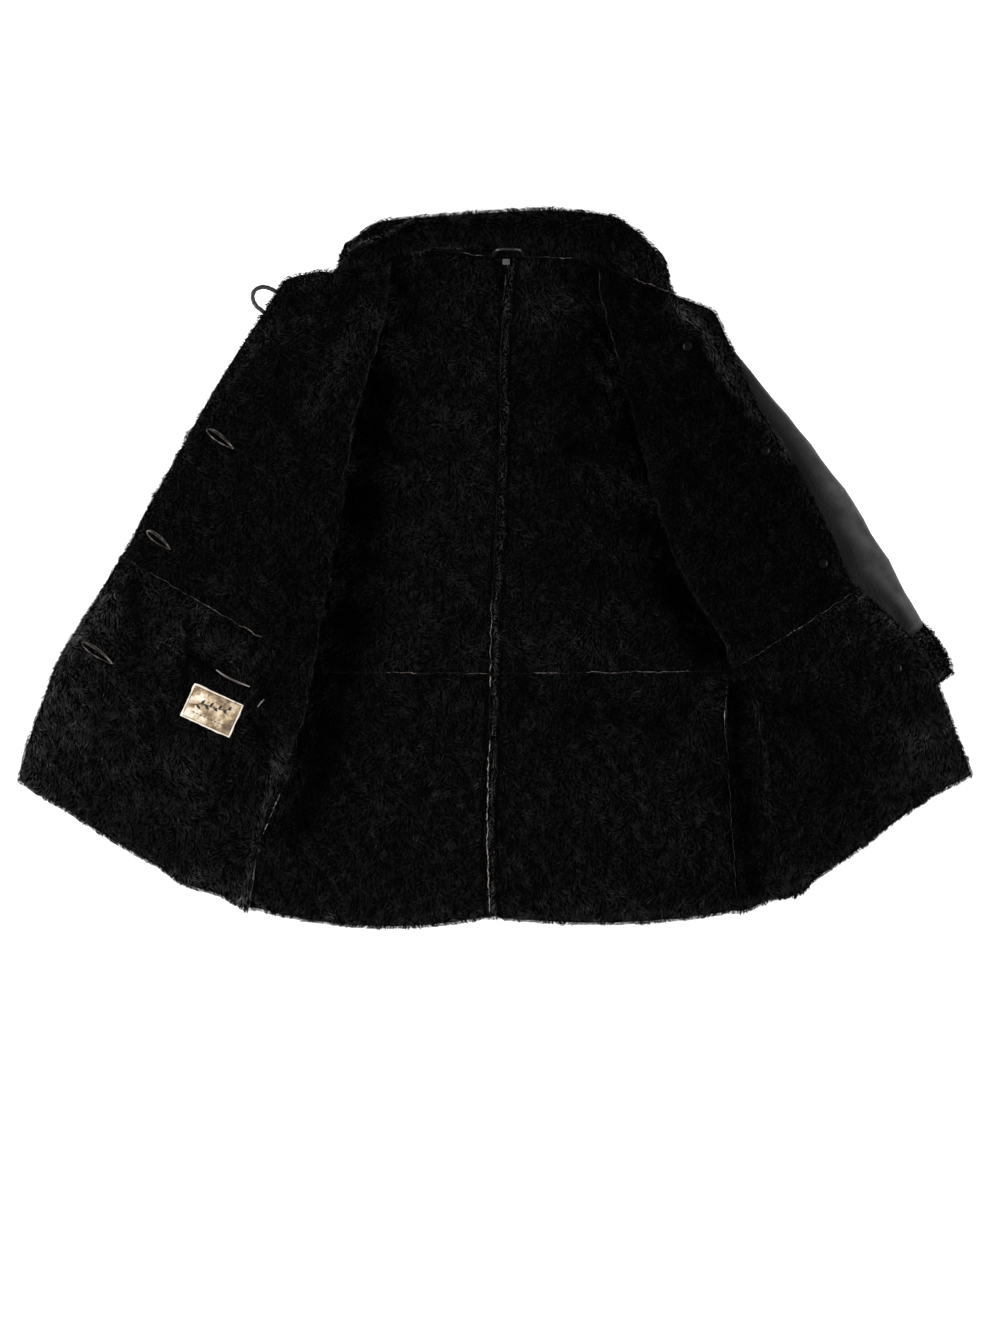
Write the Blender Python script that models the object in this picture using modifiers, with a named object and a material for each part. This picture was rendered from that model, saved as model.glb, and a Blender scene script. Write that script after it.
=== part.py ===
"""Sheared sheepskin coat, laid open on its back with the pile side up.

The back lies flat on the surface.  Each front is sewn to it at the side seam, runs back over it,
turns over at the fold and lies outward on top of its sleeve, so both fronts show their pile.
Sides are the wearer's: the wearer's right is at -X.  +Y points to the collar, +Z is up.
Tables are in millimetres; the model is in metres.
"""

import math
from collections import namedtuple

import bmesh
import bpy
import numpy as np
from mathutils import Vector
from mathutils.bvhtree import BVHTree

MM = 0.001
ABOVE_ALL = 300.0

# Driving sizes, millimetres
SKIN = 1.5
PILE_DEPTH = 9.5
WALL = SKIN + PILE_DEPTH
SEAM_GAP = 0.3
LAY_GAP = 0.5
LEANING_GAP = 1.4
SLEEVE_WALL = 9.0
SLEEVE_HEIGHT = 40.0
ARMHOLE_HEIGHT = 31.5
ARMHOLE_TRIM = 0.02
CUFF_WALL = 15.0
FOLD_RADIUS = 9.0
FOLD_ROLL = 110.0
FULLY_TURNED = 0.95
STRIP_LENGTH = 12.0
DRAPE_START = 10.0
DRAPE_REACH = 130.0
EDGE_REACH = 56.0
BUTTON_ROOM = 7.5
COLLAR_WIDTH = 50.0
COLLAR_RIDGE = 27.0
COLLAR_RIDGE_PLACE = 0.55
COLLAR_LIE = 0.4
FRONT_BLEND = 8.0
# How far towards the side seam the fronts' hem is fullest: 1 is halfway, more is nearer to it
HEM_SKEW_RIGHT = 1.5
HEM_SKEW_LEFT = 3.2

# How full a laid sleeve's section is: 1 would be an ellipse, less is boxier
SLEEVE_BOX_ACROSS = 0.6
SLEEVE_BOX_RISE = 0.62
SLEEVE_FLAT_TOP = 1.12

# Counts along and across the panels
STEPS_PER_ROW = 2
BACK_COLUMNS = 9
STRIP_COLUMNS = 3
ARC_COLUMNS = 5
MAIN_COLUMNS = 11
RING_POINTS = 11
COLLAR_COLUMNS = 8
WAIST_ROW = 7
UNDERARM_ROW = 4

# Finishes: colour and roughness
PILE = ((0.010, 0.010, 0.011), 0.95)
LEATHER = ((0.012, 0.012, 0.013), 0.45)
GLOSS_LEATHER = ((0.012, 0.012, 0.013), 0.25)
HORN = ((0.008, 0.008, 0.009), 0.15)
CORD = ((0.035, 0.025, 0.020), 0.5)
TAG = ((0.008, 0.008, 0.009), 0.6)
SATIN = ((0.62, 0.52, 0.38), 0.4)

# Where the centre-back seam crosses each section, neck to hem
CENTRE_SEAM = (
    (14, 350), (10, 302), (6, 223), (6, 155), (4, 99), (0, 25), (-4, -50),
    (-5, -120), (-6, -175), (-7, -223), (-8, -263), (-9, -302), (-8, -342), (-6, -395),
)

# One row per section, neck to hem.  side: side seam or armhole.  fold: the line where the front
# turns over.  edge: the front's free edge.  turned: how far the front is turned at the side seam,
# from 0 (lies open) over 0.5 (stands up) to 1 (runs back over the back, up to the fold).
# side_z and fold_z: heights of the wall's middle; where turned is under 1 the fold follows from it.
# back_bow and front_bow: how far the section sags towards the hem between its ends.
Front = namedtuple("Front", "side_x side_y fold_x fold_y edge_x edge_y "
                   "turned side_z fold_z back_bow front_bow")

WEARERS_RIGHT = (
    (-229.0, 297, -116, 346, -236, 319, 1, 17.2, 35.5, 0, 0),
    (-230.4, 246, -121, 274, -273, 264, 1, 26.0, 46.0, 0, 0),
    (-231.9, 189, -138, 223, -318, 193, 1, 26.0, 49.0, 0, 0),
    (-233.5, 131, -156, 155, -356, 124, 1, 26.0, 50.0, 0, 0),
    (-235.0, 76, -163, 99, -384, 76, 1, 26.0, 50.0, 0, 0),
    (-233.0, 8, -177, 20, -400, 46, 1, 19.0, 48.0, 0, 0),
    (-231.0, -59, -190, -54, -410, 25, 1, 17.2, 46.0, 0, 0),
    (-230.0, -118, -202, -114, -419, 12, 1, 17.2, 42.0, 0, 0),
    (-226.0, -175, -210, -175, -459, -54, 0.75, 17.2, 39.0, 0, 0),
    (-228.0, -223, -258, -206, -488, -99, 0.22, 5.5, 18.0, 0, 0),
    (-243.0, -255, -272, -240, -505, -138, 0.1, 5.5, 12.0, 2, 2),
    (-259.0, -294, -288, -276, -521, -175, 0.04, 5.5, 7.0, 5, 5),
    (-270.0, -326, -298, -312, -532, -212, 0, 5.5, 5.5, 10, 9),
    (-277.0, -384, -304, -372, -539, -241, 0, 5.5, 5.5, 17, 15),
)

WEARERS_LEFT = (
    (232.0, 289, 112, 341, 247, 287, 1, 17.2, 35.5, 0, 0),
    (234.8, 246, 119, 291, 259, 259, 1, 26.0, 44.0, 0, 0),
    (238.6, 189, 136, 232, 282, 212, 1, 26.0, 48.0, 0, 0),
    (242.3, 133, 153, 161, 313, 159, 1, 26.0, 50.0, 0, 0),
    (246.0, 76, 171, 99, 345, 110, 1, 26.0, 50.0, 0, 0),
    (256.0, 8, 190, 31, 372, 57, 1, 19.0, 49.0, 0, 0),
    (264.0, -48, 217, -29, 393, 11, 1, 17.2, 47.0, 0, 0),
    (264.0, -117, 274, -101, 409, -24, 0.42, 5.5, 42.0, 0, 0),
    (259.0, -167, 288, -146, 450, -62, 0.35, 5.5, 38.0, 0, 0),
    (262.0, -212, 297, -189, 483, -99, 0.3, 5.5, 33.0, 0, 0),
    (264.0, -258, 303, -231, 504, -150, 0.24, 5.5, 28.0, 1, 2),
    (268.0, -308, 303, -276, 519, -184, 0.18, 5.5, 22.0, 3, 5),
    (271.0, -353, 300, -331, 532, -212, 0.12, 5.5, 16.0, 6, 9),
    (275.0, -388, 296, -378, 539, -235, 0.06, 5.5, 11.0, 11, 18),
)

# Top edge of the back: the wearer's right shoulder, the neck seam, the left shoulder
BACK_TOP = (
    (-229, 297), (-116, 346), (-106, 350), (-82, 358), (-62, 360), (-46, 355),
    (-26, 351), (14, 350.5), (60, 349), (99, 349), (112, 341), (232, 289),
)

# Ends of the collar on the fronts' neck edges
COLLAR_ENDS = (-179, 200)

# The collar's free edge
COLLAR_EDGE = (
    (-169, 362), (-154, 377), (-132, 393), (-112, 396), (-87, 398), (-62, 400), (-42, 401),
    (-16, 403), (10, 405), (60, 407), (100, 405), (139, 398), (166, 377), (184, 357), (190, 343),
)

# Sleeves as laid flat, from below the armhole to the cuff: the line away from the body, the
# underarm line and the height of the flattened tube.  The armhole's own section is worked out.
Sleeve = namedtuple("Sleeve", "outer_x outer_y inner_x inner_y height")

SLEEVE_RIGHT = (
    (-263, 221, -247, 51, 37.0),
    (-305, 155, -252, 25, 40.0),
    (-345, 88, -259, -3, 40.0),
    (-381, 20, -280, -37, 40.0),
    (-406, -31, -304, -85, 39.0),
    (-423, -67, -324, -119, 38.0),
)

SLEEVE_LEFT = (
    (287, 223, 275, 48, 37.0),
    (345, 155, 305, 8, 40.0),
    (394, 88, 333, -37, 40.0),
    (437, 20, 362, -82, 40.0),
    (464, -31, 381, -114, 39.0),
    (483, -65, 397, -138, 38.0),
)

# Ends of the turned-back cuffs, same columns as the sleeves; they start at the sleeves' ends
CUFF_END_RIGHT = (-455, -116, -340, -177, 40.0)
CUFF_END_LEFT = (522, -117, 413, -193, 40.0)
CUFF_OVERHANG = 8.0

# Small pieces: places in plan
BUTTONHOLES = (((-323, 154), (-293, 132)), ((-390, 40), (-363, 19)), ((-463, -85), (-428, -109)))
HOLE_WIDTH = 8.0
HOLE_LIP_RADIUS = 1.6
BUTTONS = ((215, 246), (302, 129), (367, 3), (450, -114))
STAY_BUTTON_RADIUS = 5.3
STAY_BUTTON_HEIGHT = 3.4
OUTER_BUTTON_RADIUS = 14.0
OUTER_BUTTON_HEIGHT = 4.0
BUTTON_LOOP = (
    (-246, 309), (-254, 313), (-262, 314), (-269, 311), (-272, 305), (-271, 298), (-267, 292),
    (-261, 287),
)
HANGER_LOOP = ((-2, 352.5), (0, 356), (4, 358.5), (15, 359), (26, 358.5), (30, 356), (32, 352.5))
HANGER_RISE = 9.5
LOOP_RADIUS = 1.7
LOOP_END_GAP = 1.1
LOOP_LIE_GAP = 0.6
SIZE_TAG_CENTRE = (12.5, 344.5)
SIZE_TAG_SIZE = (8.0, 6.5)
LABEL_CENTRE = (-317, -161)
LABEL_SIZE = (60.0, 40.0)
LABEL_TURN = math.radians(-24.4)
WELT_ENDS = ((-342, -99), (-275, -136))
WELT_WIDTH = 6.0
TRIM_THICKNESS = 0.8
TRIM_STEP = 6.0
TURNED_STEPS = 20


# ---------------------------------------------------------------- geometry helpers

def smooth_step(value):
    """0 below 0, 1 above 1, an S-curve between."""
    t = np.clip(value, 0.0, 1.0)
    return t * t * (3.0 - 2.0 * t)


def resample(rows, steps):
    """Catmull-Rom curve through the rows of a table, with `steps` spans between two rows."""
    table = np.array(rows, dtype=float)
    before = np.vstack([2 * table[0] - table[1], table[:-1]])
    after = np.vstack([table[1:], 2 * table[-1] - table[-2]])
    tangent = (after - before) / 2
    result = []
    for i in range(len(table) - 1):
        for k in range(steps):
            t = k / steps
            result.append(
                (2 * t**3 - 3 * t**2 + 1) * table[i] + (t**3 - 2 * t**2 + t) * tangent[i]
                + (3 * t**2 - 2 * t**3) * table[i + 1] + (t**3 - t**2) * tangent[i + 1])
    result.append(table[-1])
    return np.array(result)


def plan_distance(polygon, points):
    """Distance in plan from each point to a closed outline, negative inside it."""
    corners = np.array(polygon, dtype=float)
    points = np.atleast_2d(points)
    best = np.full(len(points), np.inf)
    inside = np.zeros(len(points), dtype=bool)
    for a, b in zip(corners, np.roll(corners, -1, axis=0)):
        run = b - a
        t = np.clip(((points - a) @ run) / (run @ run), 0.0, 1.0)
        best = np.minimum(best, np.linalg.norm(points - (a + t[:, None] * run), axis=1))
        crosses = (a[1] > points[:, 1]) != (b[1] > points[:, 1])
        reach = a[0] + (points[:, 1] - a[1]) * run[0] / (run[1] if run[1] else 1e-9)
        inside ^= crosses & (points[:, 0] < reach)
    return np.where(inside, -best, best)


def grid_normals(grid):
    """Unit normals of a grid of points, one per point."""
    along = np.gradient(grid, axis=0)
    across = np.gradient(grid, axis=1)
    normals = np.cross(across, along)
    return normals / np.linalg.norm(normals, axis=2, keepdims=True)


def pull_back(grid, gap):
    """Moves the first and last row or column of a grid inward where its gap isn't 0."""
    result = grid.copy()
    top, bottom, first, last = gap
    for index, inner, amount, axis in ((0, 1, top, 0), (-1, -2, bottom, 0),
                                       (0, 1, first, 1), (-1, -2, last, 1)):
        if amount:
            border = np.take(grid, index, axis=axis)
            step = np.take(grid, inner, axis=axis) - border
            step *= amount / np.linalg.norm(step, axis=1, keepdims=True)
            if axis == 0:
                result[index] += step
            else:
                result[:, index] += step
    return result


# ---------------------------------------------------------------- objects and materials

def make_material(name, finish):
    colour, roughness = finish
    material = bpy.data.materials.new(name)
    material.use_nodes = True
    shader = material.node_tree.nodes["Principled BSDF"]
    shader.inputs["Base Color"].default_value = (*colour, 1.0)
    shader.inputs["Roughness"].default_value = roughness
    shader.inputs["Metallic"].default_value = 0.0
    material.diffuse_color = (*colour, 1.0)
    return material


def add_object(name, mesh, finish):
    mesh.shade_smooth()
    mesh.set_sharp_from_angle(angle=math.radians(40))
    piece = bpy.data.objects.new(name, mesh)
    piece.data.materials.append(make_material(name + "_finish", finish))
    coat.objects.link(piece)
    return piece


def mesh_from(points, faces, name):
    mesh = bpy.data.meshes.new(name)
    mesh.from_pydata([tuple(np.asarray(p) * MM) for p in points], [], faces)
    builder = bmesh.new()
    builder.from_mesh(mesh)
    bmesh.ops.recalc_face_normals(builder, faces=builder.faces)
    builder.to_mesh(mesh)
    builder.free()
    return mesh


def walled_grid(name, upper, lower, finish):
    """A closed loft between two grids of the same size, which are its two faces."""
    rows, columns = upper.shape[:2]
    points = np.vstack([upper.reshape(-1, 3), lower.reshape(-1, 3)])
    below = rows * columns
    faces = []
    for r in range(rows - 1):
        for c in range(columns - 1):
            a = r * columns + c
            d = a + 1 + columns
            for corners in ((a, a + 1, d), (a, d, a + columns)):
                faces.append(corners)
                faces.append(tuple(below + i for i in reversed(corners)))
    loop = list(range(columns))
    loop += [r * columns + columns - 1 for r in range(1, rows)]
    loop += [(rows - 1) * columns + c for c in range(columns - 2, -1, -1)]
    loop += [r * columns for r in range(rows - 2, 0, -1)]
    for a, b in zip(loop, loop[1:] + loop[:1]):
        low, high = min(a, b), max(a, b)
        faces.append((low, high, below + high) if b > a else (high, low, below + high))
        faces.append((low, below + high, below + low) if b > a else (below + high, low, below + low))
    return add_object(name, mesh_from(points, faces, name), finish)


def walled_panel(name, grid, normals, gap):
    """A panel of shearling: the grid runs through the middle of its wall."""
    middle = pull_back(grid, gap)
    upper = middle + normals * WALL / 2
    lower = middle - normals * WALL / 2
    for face in (upper, lower):
        face[:, :, 2] = np.maximum(face[:, :, 2], 0.0)
    return walled_grid(name, upper, lower, PILE)


# ---------------------------------------------------------------- back

def back_grid(table):
    """Middle of one half of the back, from centre seam to side, neck to hem."""
    sections = [Front(*row) for row in resample(table, STEPS_PER_ROW)]
    centres = resample(CENTRE_SEAM, STEPS_PER_ROW)
    top = np.array(BACK_TOP, dtype=float)
    share = np.linspace(0, 1, BACK_COLUMNS)
    rows = []
    for index, (row, centre) in enumerate(zip(sections, centres)):
        line = centre + (np.array([row.side_x, row.side_y]) - centre) * share[:, None]
        line[:, 1] -= 4 * row.back_bow * share * (1 - share)
        if index == 0:
            neck_shape = np.interp(line[:, 0], top[:, 0], top[:, 1]) - line[:, 1]
        line[:, 1] += neck_shape * max(0.0, 1.0 - index / STEPS_PER_ROW)
        rows.append(np.column_stack([line, np.full(len(line), WALL / 2)]))
    return np.array(rows)


def build_back(side_name, table):
    grid = back_grid(table)
    normals = np.zeros_like(grid)
    normals[:, :, 2] = 1.0
    cut = WAIST_ROW * STEPS_PER_ROW
    half = SEAM_GAP / 2
    walled_panel("back_upper_" + side_name, grid[:cut + 1], normals[:cut + 1],
                 (half, half, half, half))
    walled_panel("back_lower_" + side_name, grid[cut:], normals[cut:], (half, 0, half, half))
    return grid


# ---------------------------------------------------------------- sleeves and cuffs

def armhole_section(table):
    """The sleeve's first section, along the armhole, just short of its two ends."""
    top = np.array(table[0][0:2])
    underarm = np.array(table[UNDERARM_ROW][0:2])
    run = underarm - top
    start = top + run * ARMHOLE_TRIM
    end = underarm - run * ARMHOLE_TRIM / 2
    shift = np.array([math.copysign(SEAM_GAP * 1.5, top[0]), 0.0])
    return Sleeve(*(start + shift), *(end + shift), ARMHOLE_HEIGHT)


def sleeve_outline(sections):
    outer = [(section.outer_x, section.outer_y) for section in sections]
    inner = [(section.inner_x, section.inner_y) for section in sections]
    return outer + inner[::-1]


def ring_half(section, wall, upper):
    """Half of a flattened tube's section: outer and inner line, from outer side to inner side."""
    outer = np.array([section.outer_x, section.outer_y])
    inner = np.array([section.inner_x, section.inner_y])
    height = section.height
    middle = (outer + inner) / 2
    reach = (outer - inner) / 2
    half_width = np.linalg.norm(reach)
    direction = 1.0 if upper else -1.0
    lines = []
    for inset in (0.0, wall):
        line = []
        for angle in np.linspace(0, math.pi, RING_POINTS):
            across = math.copysign(abs(math.cos(angle)) ** SLEEVE_BOX_ACROSS, math.cos(angle))
            rise = min(1.0, SLEEVE_FLAT_TOP * abs(math.sin(angle)) ** SLEEVE_BOX_RISE)
            plan = middle + reach * across * (half_width - inset) / half_width
            z = height / 2 + direction * (SEAM_GAP / 2 + (height / 2 - SEAM_GAP / 2 - inset) * rise)
            line.append((*plan, z))
        lines.append(line)
    return lines


def build_sleeve(side_name, table, sleeve):
    sections = [armhole_section(table)] + [Sleeve(*row) for row in sleeve]
    for half_name, upper in (("sleeve_top_", True), ("sleeve_under_", False)):
        halves = [ring_half(section, SLEEVE_WALL, upper) for section in sections]
        outside = np.array([half[0] for half in halves])
        inside = np.array([half[1] for half in halves])
        walled_grid(half_name + side_name, outside, inside, LEATHER)
    return sections


def cuff_sections(sleeve, end):
    """A cuff's sections: it starts against the sleeve's last one and is wider all round."""
    last = np.array(sleeve[-1][0:4], dtype=float)
    across = last[0:2] - last[2:4]
    across /= np.linalg.norm(across)
    ahead = np.array([across[1], -across[0]]) * math.copysign(1.0, last[0])
    ahead *= math.copysign(1.0, ahead @ (np.array(end[0:2]) - last[0:2]))
    first = np.concatenate([last[0:2] + across * CUFF_OVERHANG + ahead * SEAM_GAP,
                            last[2:4] - across * CUFF_OVERHANG + ahead * SEAM_GAP])
    middle = (first + np.array(end[0:4])) / 2
    return Sleeve(*first, SLEEVE_HEIGHT), Sleeve(*middle, SLEEVE_HEIGHT), Sleeve(*end)


def build_cuff(side_name, cuff):
    """A band of turned-back fur round the sleeve's end."""
    rings = []
    for inset in (0, 1):
        for section in cuff:
            upper = ring_half(section, CUFF_WALL, True)[inset]
            lower = ring_half(section, CUFF_WALL, False)[inset]
            rings.append(upper + lower[-1:0:-1] + lower[:1])
    count = len(rings[0])
    sections = len(cuff)
    order = list(range(sections)) + list(range(2 * sections - 1, sections - 1, -1))
    points = [p for ring in rings for p in ring]
    faces = []
    for a, b in zip(order, order[1:] + order[:1]):
        for k in range(count):
            n = (k + 1) % count
            faces.append((a * count + k, a * count + n, b * count + n, b * count + k))
    mesh = mesh_from(points, faces, "cuff_" + side_name)
    return add_object("cuff_" + side_name, mesh, PILE)


# ---------------------------------------------------------------- fronts

def support_height(points, share, outline, room):
    """Height of the wall's middle over the sleeve and cuff, falling to the floor beyond them."""
    beyond = plan_distance(outline, points)
    lift = SLEEVE_HEIGHT + LAY_GAP + room
    reach = DRAPE_REACH + (EDGE_REACH - DRAPE_REACH) * smooth_step((share - 0.5) / 0.5)
    return WALL / 2 + lift * (1.0 - smooth_step((beyond - DRAPE_START) / reach))


def turned_over(side, row, run):
    """Side seam to the start of the main part where the front turns over at the fold."""
    centre = np.array([row.fold_x, row.fold_y, row.fold_z - FOLD_RADIUS])
    centre += run * (WALL / 2 + FOLD_RADIUS)
    arc = []
    for angle in np.linspace(-math.pi / 2, math.pi / 2, ARC_COLUMNS):
        reach = np.array([0, 0, math.sin(angle)]) - run * math.cos(angle)
        arc.append(centre + reach * FOLD_RADIUS)
    strip = [side + (arc[0] - side) * t for t in np.linspace(0, 1, STRIP_COLUMNS + 1)[:-1]]
    return np.array(strip + arc)


def rising(side, turned, run):
    """The same stretch where the front rises at the side seam: a straight strip, then a roll."""
    angle = math.pi * turned
    up = np.array([0, 0, 1.0])
    place = side + run * WALL / 2 * math.sin(angle)
    points = [place]
    steps = STRIP_COLUMNS + ARC_COLUMNS - 1
    for k in range(steps):
        on_strip = k < STRIP_COLUMNS
        length = STRIP_LENGTH / STRIP_COLUMNS if on_strip else (
            math.pi * FOLD_RADIUS / (ARC_COLUMNS - 1))
        bent = 0.0 if on_strip else (k - STRIP_COLUMNS + 0.5) / (ARC_COLUMNS - 1)
        heading = angle * (1 - bent)
        place = place + (run * math.cos(heading) + up * math.sin(heading)) * length
        points.append(place)
    return np.array(points)


def front_section(row, outline, room, skew):
    """Middle line of a front's wall: side seam, strip, turn and main part."""
    outward = math.copysign(1.0, row.side_x)
    turned = float(np.clip(row.turned, 0.0, 1.0))
    side = np.array([row.side_x, row.side_y, row.side_z])
    if turned > 0.5:
        lean = abs(math.cos(math.pi * turned))
        side[2] = max(side[2], WALL + LEANING_GAP + WALL / 2 * lean)
    fold = np.array([row.fold_x, row.fold_y, 0.0])
    edge = np.array([row.edge_x, row.edge_y, 0.0])
    if turned > FULLY_TURNED:
        run = (edge - fold) / np.linalg.norm(edge - fold)
        inner = turned_over(side, row, run)
    else:
        side[0] += outward * (SEAM_GAP if turned < 0.5 else LEANING_GAP)
        flat_side = np.array([side[0], side[1], 0.0])
        run = (edge - flat_side) / np.linalg.norm(edge - flat_side)
        inner = rising(side, turned, run)
    start = inner[-1]
    share = np.linspace(0, 1, MAIN_COLUMNS + 1)[1:, None]
    main = start + (edge - start) * share
    fullest = skew**skew / (1 + skew) ** (1 + skew)
    main[:, 1] -= row.front_bow * (share * (1 - share) ** skew)[:, 0] / fullest
    travelled = np.linalg.norm(main[:, :2] - start[:2], axis=1)
    over_sleeve = support_height(main[:, :2], share[:, 0], outline, room)
    rolled = start[2] + (WALL / 2 - start[2]) * smooth_step(travelled / FOLD_ROLL)
    strip_run = np.linalg.norm(start[:2] - side[:2])
    over_strip = np.zeros(len(main))
    if turned > 0.5:
        over_strip = (side[2] + WALL + LAY_GAP + room) * (
            1 - smooth_step((travelled - strip_run) / FOLD_ROLL * 2))
    heights = np.array([over_sleeve, rolled, over_strip])
    main[:, 2] = (heights**FRONT_BLEND).sum(axis=0) ** (1 / FRONT_BLEND)
    return np.vstack([inner, main])


def rim_normal(row):
    """Normal of a front's wall at the side seam, on the pile side."""
    run = np.array([row.edge_x - row.side_x, row.edge_y - row.side_y])
    run /= np.linalg.norm(run)
    angle = math.pi if row.turned > FULLY_TURNED else math.pi * max(row.turned, 0.0)
    return np.array([-run[0] * math.sin(angle), -run[1] * math.sin(angle), math.cos(angle)])


def build_front(side_name, table, outline, room, skew):
    sections = [Front(*row) for row in resample(table, STEPS_PER_ROW)]
    grid = np.array([front_section(row, outline, room, skew) for row in sections])
    outward = math.copysign(1.0, table[0][0])
    normals = grid_normals(grid) * -outward
    normals[:, 0] = [rim_normal(row) for row in sections]
    along_neck = grid[0, -1, :2] - grid[0, -2, :2]
    beside = np.array([-along_neck[1], along_neck[0], 0.0]) / np.linalg.norm(along_neck)
    normals[0] -= (normals[0] @ beside)[:, None] * beside
    normals /= np.linalg.norm(normals, axis=2, keepdims=True)
    cut = WAIST_ROW * STEPS_PER_ROW
    half = SEAM_GAP / 2
    panels = []
    for name, part, gap in (("front_upper_", slice(0, cut + 1), (half, half, 0, 0)),
                            ("front_lower_", slice(cut, None), (half, 0, 0, 0))):
        panels.append(walled_panel(name + side_name, grid[part], normals[part], gap))
    return grid, panels


# ---------------------------------------------------------------- collar

def neck_line(back_tops, front_tops):
    """Middle of the neck seam from end to end: a front's neck edge, the back's, the other front's."""
    folds = (front_tops[0][0, 0], front_tops[1][0, 0])
    points = []
    for line in front_tops:
        points += [p for p in line if COLLAR_ENDS[0] < p[0] < COLLAR_ENDS[1]]
    for line in back_tops:
        points += [p for p in line if folds[0] + WALL < p[0] < folds[1] - WALL]
    for line, end_x in zip(front_tops, COLLAR_ENDS):
        order = np.argsort(line[:, 0])
        points.append([np.interp(end_x, line[order, 0], line[order, k]) for k in range(3)])
    points = sorted((tuple(p) for p in points), key=lambda p: p[0])
    kept = [points[0]]
    for point in points[1:]:
        if point[0] - kept[-1][0] > SKIN:
            kept.append(point)
    return np.array(kept)


def build_collar(back_tops, front_tops):
    seam = neck_line(back_tops, front_tops)
    free = np.array(COLLAR_EDGE, dtype=float)
    reach = np.concatenate([[0], np.cumsum(np.linalg.norm(np.diff(free, axis=0), axis=1))])
    station = np.concatenate([[0], np.cumsum(np.linalg.norm(np.diff(seam[:, :2], axis=0), axis=1))])
    station *= reach[-1] / station[-1]
    edge = np.column_stack([np.interp(station, reach, free[:, k]) for k in range(2)])
    width = np.linalg.norm(edge - seam[:, :2], axis=1)
    step_up = seam[:, 2] - WALL / 2
    free_height = WALL / 2 + COLLAR_LIE * step_up
    ridge = COLLAR_RIDGE * np.clip(width / COLLAR_WIDTH, 0, 1)**2
    ridge *= 1 - step_up / COLLAR_WIDTH
    grid = []
    for t in np.linspace(1, 0, COLLAR_COLUMNS):
        line = seam[:, :2] + (edge - seam[:, :2]) * t
        line[:, 1] += SEAM_GAP * (1 - t)
        roll = smooth_step(min(t / COLLAR_RIDGE_PLACE, (1 - t) / (1 - COLLAR_RIDGE_PLACE)))
        height = seam[:, 2] + (free_height - seam[:, 2]) * smooth_step(t) + ridge * roll
        grid.append(np.column_stack([line, height]))
    grid = np.array(grid)
    normals = -grid_normals(grid)
    normals[0] = (0, 0, 1)
    normals[-1] = (0, 0, 1)
    return walled_panel("collar", grid, normals, (0, 0, 0, 0))


# ---------------------------------------------------------------- small pieces

def surface_of(pieces):
    """The surface of several pieces, in millimetres, for seating trim on it."""
    points = []
    faces = []
    for piece in pieces:
        base = len(points)
        points += [vertex.co / MM for vertex in piece.data.vertices]
        faces += [tuple(base + i for i in face.vertices) for face in piece.data.polygons]
    return BVHTree.FromPolygons(points, faces)


def top_point(surface, x, y):
    hit, normal, _, _ = surface.ray_cast(Vector((x, y, ABOVE_ALL)), Vector((0, 0, -1)))
    return hit, normal


def bottom_point(surface, x, y, below_z):
    hit, normal, _, _ = surface.ray_cast(Vector((x, y, below_z)), Vector((0, 0, 1)))
    return hit, normal


def seat_height(surface, x, y, reach):
    """Height of the highest point of the surface within reach of a place, in eight directions."""
    around = [(reach * dx, reach * dy) for dx in (-1, 0, 1) for dy in (-1, 0, 1)]
    hits = [top_point(surface, x + dx, y + dy)[0] for dx, dy in around]
    return max(hit.z for hit in hits if hit)


def patch_on(surface, name, centre, size, turn, finish):
    """A thin rectangle that follows the surface under it."""
    columns = max(2, round(size[0] / TRIM_STEP)) + 1
    rows = max(2, round(size[1] / TRIM_STEP)) + 1
    upper = np.zeros((rows, columns, 3))
    lower = np.zeros((rows, columns, 3))
    for r in range(rows):
        for c in range(columns):
            u = (c / (columns - 1) - 0.5) * size[0]
            v = (r / (rows - 1) - 0.5) * size[1]
            x = centre[0] + u * math.cos(turn) - v * math.sin(turn)
            y = centre[1] + u * math.sin(turn) + v * math.cos(turn)
            seat = seat_height(surface, x, y, TRIM_STEP / 2) + SEAM_GAP
            lower[r, c] = (x, y, seat)
            upper[r, c] = (x, y, seat + TRIM_THICKNESS)
    return walled_grid(name, upper, lower, finish)


def tube(name, route, radius, closed, finish):
    """A cord of round section along a route in millimetres."""
    curve = bpy.data.curves.new(name, "CURVE")
    curve.dimensions = "3D"
    curve.bevel_depth = radius * MM
    curve.bevel_resolution = 1 if closed else 2
    curve.use_fill_caps = not closed
    spline = curve.splines.new("POLY")
    spline.points.add(len(route) - 1)
    spline.use_cyclic_u = closed
    for point, place in zip(spline.points, route):
        point.co = (*(np.asarray(place) * MM), 1.0)
    guide = bpy.data.objects.new(name + "_route", curve)
    coat.objects.link(guide)
    evaluated = guide.evaluated_get(bpy.context.evaluated_depsgraph_get())
    mesh = bpy.data.meshes.new_from_object(evaluated)
    builder = bmesh.new()
    builder.from_mesh(mesh)
    bmesh.ops.remove_doubles(builder, verts=builder.verts, dist=0.01 * MM)
    bmesh.ops.recalc_face_normals(builder, faces=builder.faces)
    builder.to_mesh(mesh)
    builder.free()
    mesh.name = name
    mesh.materials.clear()
    bpy.data.objects.remove(guide)
    return add_object(name, mesh, finish)


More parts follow.
